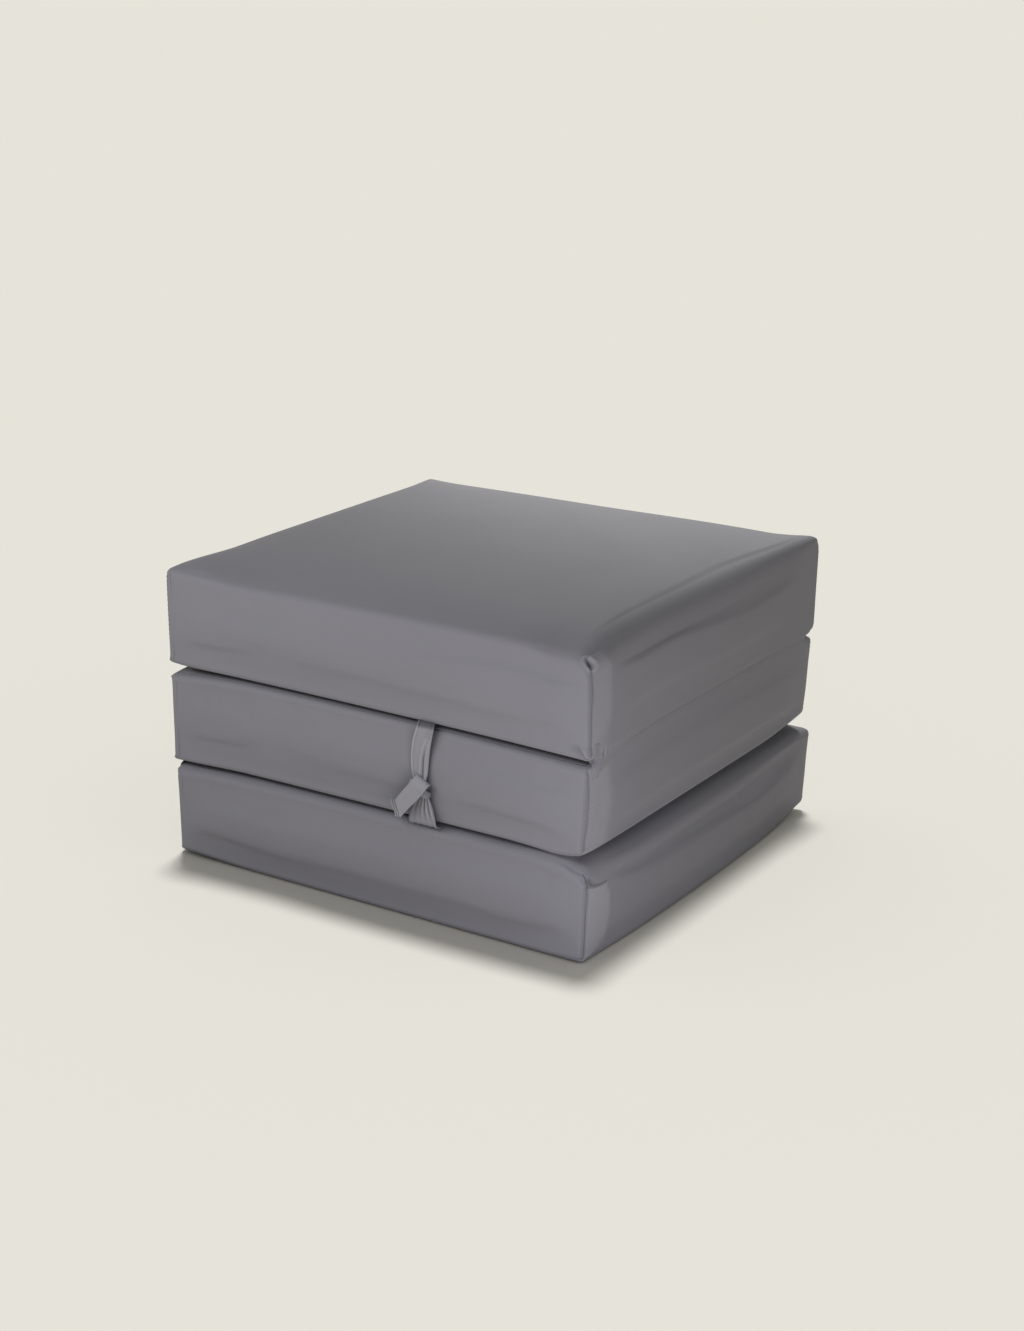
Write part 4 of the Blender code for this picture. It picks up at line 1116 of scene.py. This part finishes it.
def strap_relief(way, a, length):
    """Hems, two ridges right of the middle with a groove between, and a row of stitches near the top; painted
    shade in the groove, beside the hems, on the stitches and where it runs into the gap, painted highlights
    on the ridges and the left hem.
    """
    places = [np.interp(way, RIDGE_WAYS, row) for row in RIDGE_PLACES]
    drawn = fade(way, 0.022, 0.034)
    ridges = sum(bell(a - place, RIDGE_WIDTH) for place in places)
    valley = bell(a - (places[0] + places[1]) / 2, 0.10) * fade(way, 0.030, 0.058)
    right = a > STITCH_ROW_LEFT
    row = bell(way - STITCH_ROW, 0.0005) * right * (np.sin(a * 60) > -0.4)
    pleats = 0.0005 * np.sin(a * 26.0) * right * bell(way - STITCH_ROW + 0.006, 0.005)
    rise = hems(a) + RIDGE_HEIGHT * ridges * drawn - 0.0007 * valley - 0.0003 * row + pleats
    painted_shading = np.maximum(1.2 * valley, 0.45 * bell(np.abs(a) - 0.72, 0.03))
    ridge_and_hem_highlight = 0.55 * ridges * drawn + 0.55 * fade(-a, 0.78, 0.90)
    gap_shade = 1.3 * (1 - fade(way, 0.009, 0.0145))
    return rise, np.maximum(painted_shading, 0.7 * row) - ridge_and_hem_highlight + gap_shade


STRAP_WIDTHS = (0.0250, 0.0256, 0.0262, 0.0270, 0.0280, 0.0280, 0.0268, 0.0246, 0.0190)
upper_strap = band("upper_strap", STRAP_ROUTE, [(1, 0, 0), (1, 0, 0.05)], STRAP_WIDTHS, BAND_THICKNESS,
                   strap_relief, (73, 61))
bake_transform(upper_strap)
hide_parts("upper_tie_root", "upper_tie")

# %% [markdown]
# The knot is a half knot pulled flat. One turn of the band goes round the front as a collar, whose
# folds lie level. The free end comes up behind it, rolls over its upper edge and hangs down to the
# lower left. It is folded in three, so its cut end shows three layers, one a little behind the other.
# The two layers behind the first are painted darker, as painted shade, the first a little lighter, and each
# cut end carries a painted highlight.

# %% The knot
def collar_relief(way, a, length):
    """A rolled band: round across its width, with folds that run along it, painted darker in their hollows.
    """
    fold = np.cos(a * 9.5 + 0.4)
    return 0.0020 * (1 - a ** 2) + 0.0007 * fold, 0.8 * fade(-fold, 0.3, 1.0) * (np.abs(a) < 0.8)


COLLAR_ROUTE = [(0.0800, -0.3050, 0.1905), (0.0758, -0.3092, 0.1905), (0.0785, -0.3136, 0.1900),
                (0.0870, -0.3158, 0.1868), (0.0945, -0.3150, 0.1825), (0.0990, -0.3112, 0.1785),
                (0.0970, -0.3052, 0.1770)]
collar = band("knot_collar", COLLAR_ROUTE, [(0, 0, 1), (0.05, 0, 1), (0.30, 0, 1)],
              (0.009, 0.011, 0.012, 0.012, 0.012, 0.010, 0.008), BAND_THICKNESS, collar_relief, (57, 33))
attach(collar, "upper_tie")

TAIL_ROUTE = [(0.0870, -0.3100, 0.1850), (0.0905, -0.3082, 0.1905), (0.0935, -0.3090, 0.1957),
              (0.0945, -0.3135, 0.1975), (0.0928, -0.3176, 0.1945), (0.0880, -0.3188, 0.1880),
              (0.0805, -0.3180, 0.1793), (0.0715, -0.3172, 0.1695), (0.0640, -0.3170, 0.1610),
              (0.0572, -0.3168, 0.1530)]
TAIL_ACROSS = [(0.86, 0, -0.51), (0.86, 0, -0.51), (0.86, 0, -0.51), (0.84, 0, -0.54), (0.80, 0, -0.60),
               (0.76, 0, -0.65), (0.70, 0, -0.71), (0.28, 0, -0.96)]
TAIL_WIDTHS = (0.0150, 0.0175, 0.0200, 0.0215, 0.0220, 0.0225, 0.0225, 0.0218, 0.0215, 0.0240)
TAIL_LAYERS, TAIL_LAYER_STEP, TAIL_LAYER_DEPTH = 3, 0.0052, 0.0022
TAIL_THICKNESS = 0.0010


def tail_relief(way, a, length, shade):
    """Hems, a long soft fold and a curl at the free end, painted shade beside the hems and a painted
    highlight on the cut end; shade is the layer's painted shade, below zero a painted highlight.
    """
    curl = -0.0012 * np.abs(a) * fade(way, length - 0.020, length)
    soft = 0.0007 * np.cos(a * 3.4 + way * 30) * fade(way, 0.020, 0.035)
    end = fade(way, length - 0.0024, length - 0.0012)
    return hems(a) + soft + curl, shade + 0.20 * bell(np.abs(a) - 0.72, 0.03) - (0.7 + shade) * end


# The layers behind the first are painted darker, as painted shade, and the first is painted a little lighter,
# as a painted highlight.
for layer in range(TAIL_LAYERS):
    first = 0 if layer == 0 else 5
    along = np.linspace(0, 1, len(TAIL_ROUTE) - first) * layer * TAIL_LAYER_STEP
    route = [(x - step, y + layer * TAIL_LAYER_DEPTH, z - 0.25 * step)
             for (x, y, z), step in zip(TAIL_ROUTE[first:], along)]
    tail = band(f"knot_tail_{layer + 1}", route, TAIL_ACROSS[first * 4 // 5:], TAIL_WIDTHS[first:],
                TAIL_THICKNESS, lambda way, a, length: tail_relief(way, a, length, 0.9 if layer else -0.2),
                (101 if layer == 0 else 61, 33))
    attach(tail, "upper_tie")

# %% The lower tie
LOWER_ROUTE = [(0.0850, -0.2925, 0.1310), (0.0855, -0.2995, 0.1330), (0.0865, -0.3035, 0.1372),
               (0.0873, -0.3048, 0.1440), (0.0885, -0.3058, 0.1560), (0.0903, -0.3068, 0.1670),
               (0.0925, -0.3092, 0.1765), (0.0935, -0.3118, 0.1845)]
LOWER_WIDTHS = (0.0430, 0.0430, 0.0420, 0.0395, 0.0320, 0.0230, 0.0150, 0.0110)


def lower_relief(way, a, length):
    """Gathers that start in the knot and open out like a fan towards the block, painted light on their crests
    and dark between them, with a painted shadow of the tail over the flat part near the knot.
    """
    share = way / length
    gathered = fade(-a, -0.30, 0.15) * fade(share, 0.20, 0.55)
    fold = np.cos(2 * np.pi * (2.3 * a + 0.10 * np.sin(9 * share)))
    rise = (0.0003 + 0.0018 * gathered * share ** 0.8) * fold + hems(a)
    return rise, gathered * (0.10 - 0.8 * fold) + 0.45 * (1 - gathered) * fade(share, 0.15, 0.5)


lower_strap = band("lower_strap", LOWER_ROUTE, [(-1, 0, 0), (-1, 0, 0)], LOWER_WIDTHS, BAND_THICKNESS,
                   lower_relief, (65, 73))
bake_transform(lower_strap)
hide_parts("lower_tie_root", "lower_tie")

# %% [markdown]
# ## Zips
#
# The tapes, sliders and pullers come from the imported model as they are. What they lack is their
# surface, and the coil of teeth: one plastic thread wound round the edge of each tape. Each turn
# could be an object of its own, but 336 of them are cheaper as one tube whose radius swells once a
# turn, with the swelling's place turning with the angle round the tube, which makes it a helix.

# %% Tape, coil and metal
def object_place(tree):
    """The piece's Object coordinates, Y and Z exchanged so that a pattern lies in the plane of the back."""
    split, joined = node(tree, "ShaderNodeSeparateXYZ"), node(tree, "ShaderNodeCombineXYZ")
    tree.links.new(node(tree, "ShaderNodeTexCoord").outputs["Object"], split.inputs[0])
    feed(tree, joined, X=split.outputs["X"], Y=split.outputs["Z"], Z=split.outputs["Y"])
    return joined.outputs[0]


def zip_material(name, colour, group, metallic=0.0, bump=0.3, relief=0.0001, **inputs):
    """A zip piece's material: a group on its Object coordinates gives colour, height and roughness."""
    material, tree, shader, _ = group_material(name, colour, group, object_place, bump, relief, **inputs)
    feed(tree, shader, Metallic=metallic)
    return material


def make_grain():
    """Worn smooth surface: fine streaks along X and a slow drift of tone, from a place in metres."""
    group, given, result = surface_group("satin_grain", (0.5, 0.5, 0.5, 1.0), Roughness=0.3, Streaks=0.10)
    place = given.outputs["Place"]
    streak = noise_node(group, stretched(group, place, (300.0, 9000.0, 9000.0)), 1.0)
    drift = noise_node(group, place, 260.0, 3.0)
    tone = math_node(group, "MULTIPLY_ADD", streak, given.outputs["Streaks"], 1.0)
    tone = math_node(group, "MULTIPLY_ADD", drift, 0.12, tone)
    rough = math_node(group, "MULTIPLY_ADD", drift, 0.25, given.outputs["Roughness"])
    rough = math_node(group, "MULTIPLY_ADD", streak, 0.10, rough)
    end_group(group, given, result, tone, streak, rough)
    return group


grain = make_grain()
zip_tape = zip_material("zip_tape", (0.120, 0.118, 0.128), weave, bump=0.6, relief=0.0002,
                        Threads=1100.0, Slub=0.03, Drift=0.05)
zip_coil = zip_material("zip_coil", (0.150, 0.148, 0.158), grain, Roughness=0.34)
zip_metal = zip_material("zip_metal", (0.56, 0.56, 0.57), grain, metallic=1.0, Roughness=0.30, Streaks=0.16)

# %% The coils of teeth
BEAD_CENTRE, BEAD_BACK = 0.0018, 0.00035
COIL_RADIUS, COIL_SWELL, COIL_PITCH = 0.00094, 0.00020, 0.0016
COIL_HALF = ZIP_HALF_LENGTH - 0.0006
COIL_STATIONS = 4 * round(2 * COIL_HALF / COIL_PITCH) + 1


def coil_place(name, side):
    """A tube round one zip edge: its radius swells once a turn, at an angle that turns along it."""
    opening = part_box(f"{name}_zip_hood_tape"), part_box(f"{name}_zip_base_tape")
    middle = (opening[0][0][2] + opening[0][1][2] + opening[1][0][2] + opening[1][1][2]) / 4
    front = max(corner[1] for corner in opening[0]) - 0.0009 + BEAD_BACK

    def place(u, v, w):
        x = (2 * u - 1) * COIL_HALF
        angle = np.arctan2(w - 0.5, v - 0.5)
        rim = np.minimum(1.0, 2 * np.maximum(np.abs(v - 0.5), np.abs(w - 0.5)))
        radius = rim * (COIL_RADIUS + COIL_SWELL * np.cos(2 * np.pi * x / COIL_PITCH - side * angle))
        y = front - BEAD_BACK + radius * np.sin(angle)
        z = middle + side * BEAD_CENTRE + radius * np.cos(angle)
        return rows(x, y, z), rows(x, angle * COIL_RADIUS), np.zeros(len(x))
    return place


def carry_over(name, material):
    """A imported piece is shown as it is, in a new material."""
    piece = bpy.data.objects[name]
    piece.data.materials.clear()
    piece.data.materials.append(material)
    bed.objects.link(piece)


for name in NAMES:
    for part in ("hood", "base"):
        side = 1 if (part == "hood") == HOOD_UP[name] else -1
        coil = lattice_piece(f"{name}_{part}_coil", (COIL_STATIONS, 3, 3), coil_place(name, side), zip_coil,
                             fine=False)
        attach(coil, f"{name}_block")
        carry_over(f"{name}_zip_{part}_tape", zip_tape)
    for part in ("slider", "puller"):
        carry_over(f"{name}_zip_{part}", zip_metal)
print("Coils of", COIL_STATIONS // 4, "turns on six tapes")
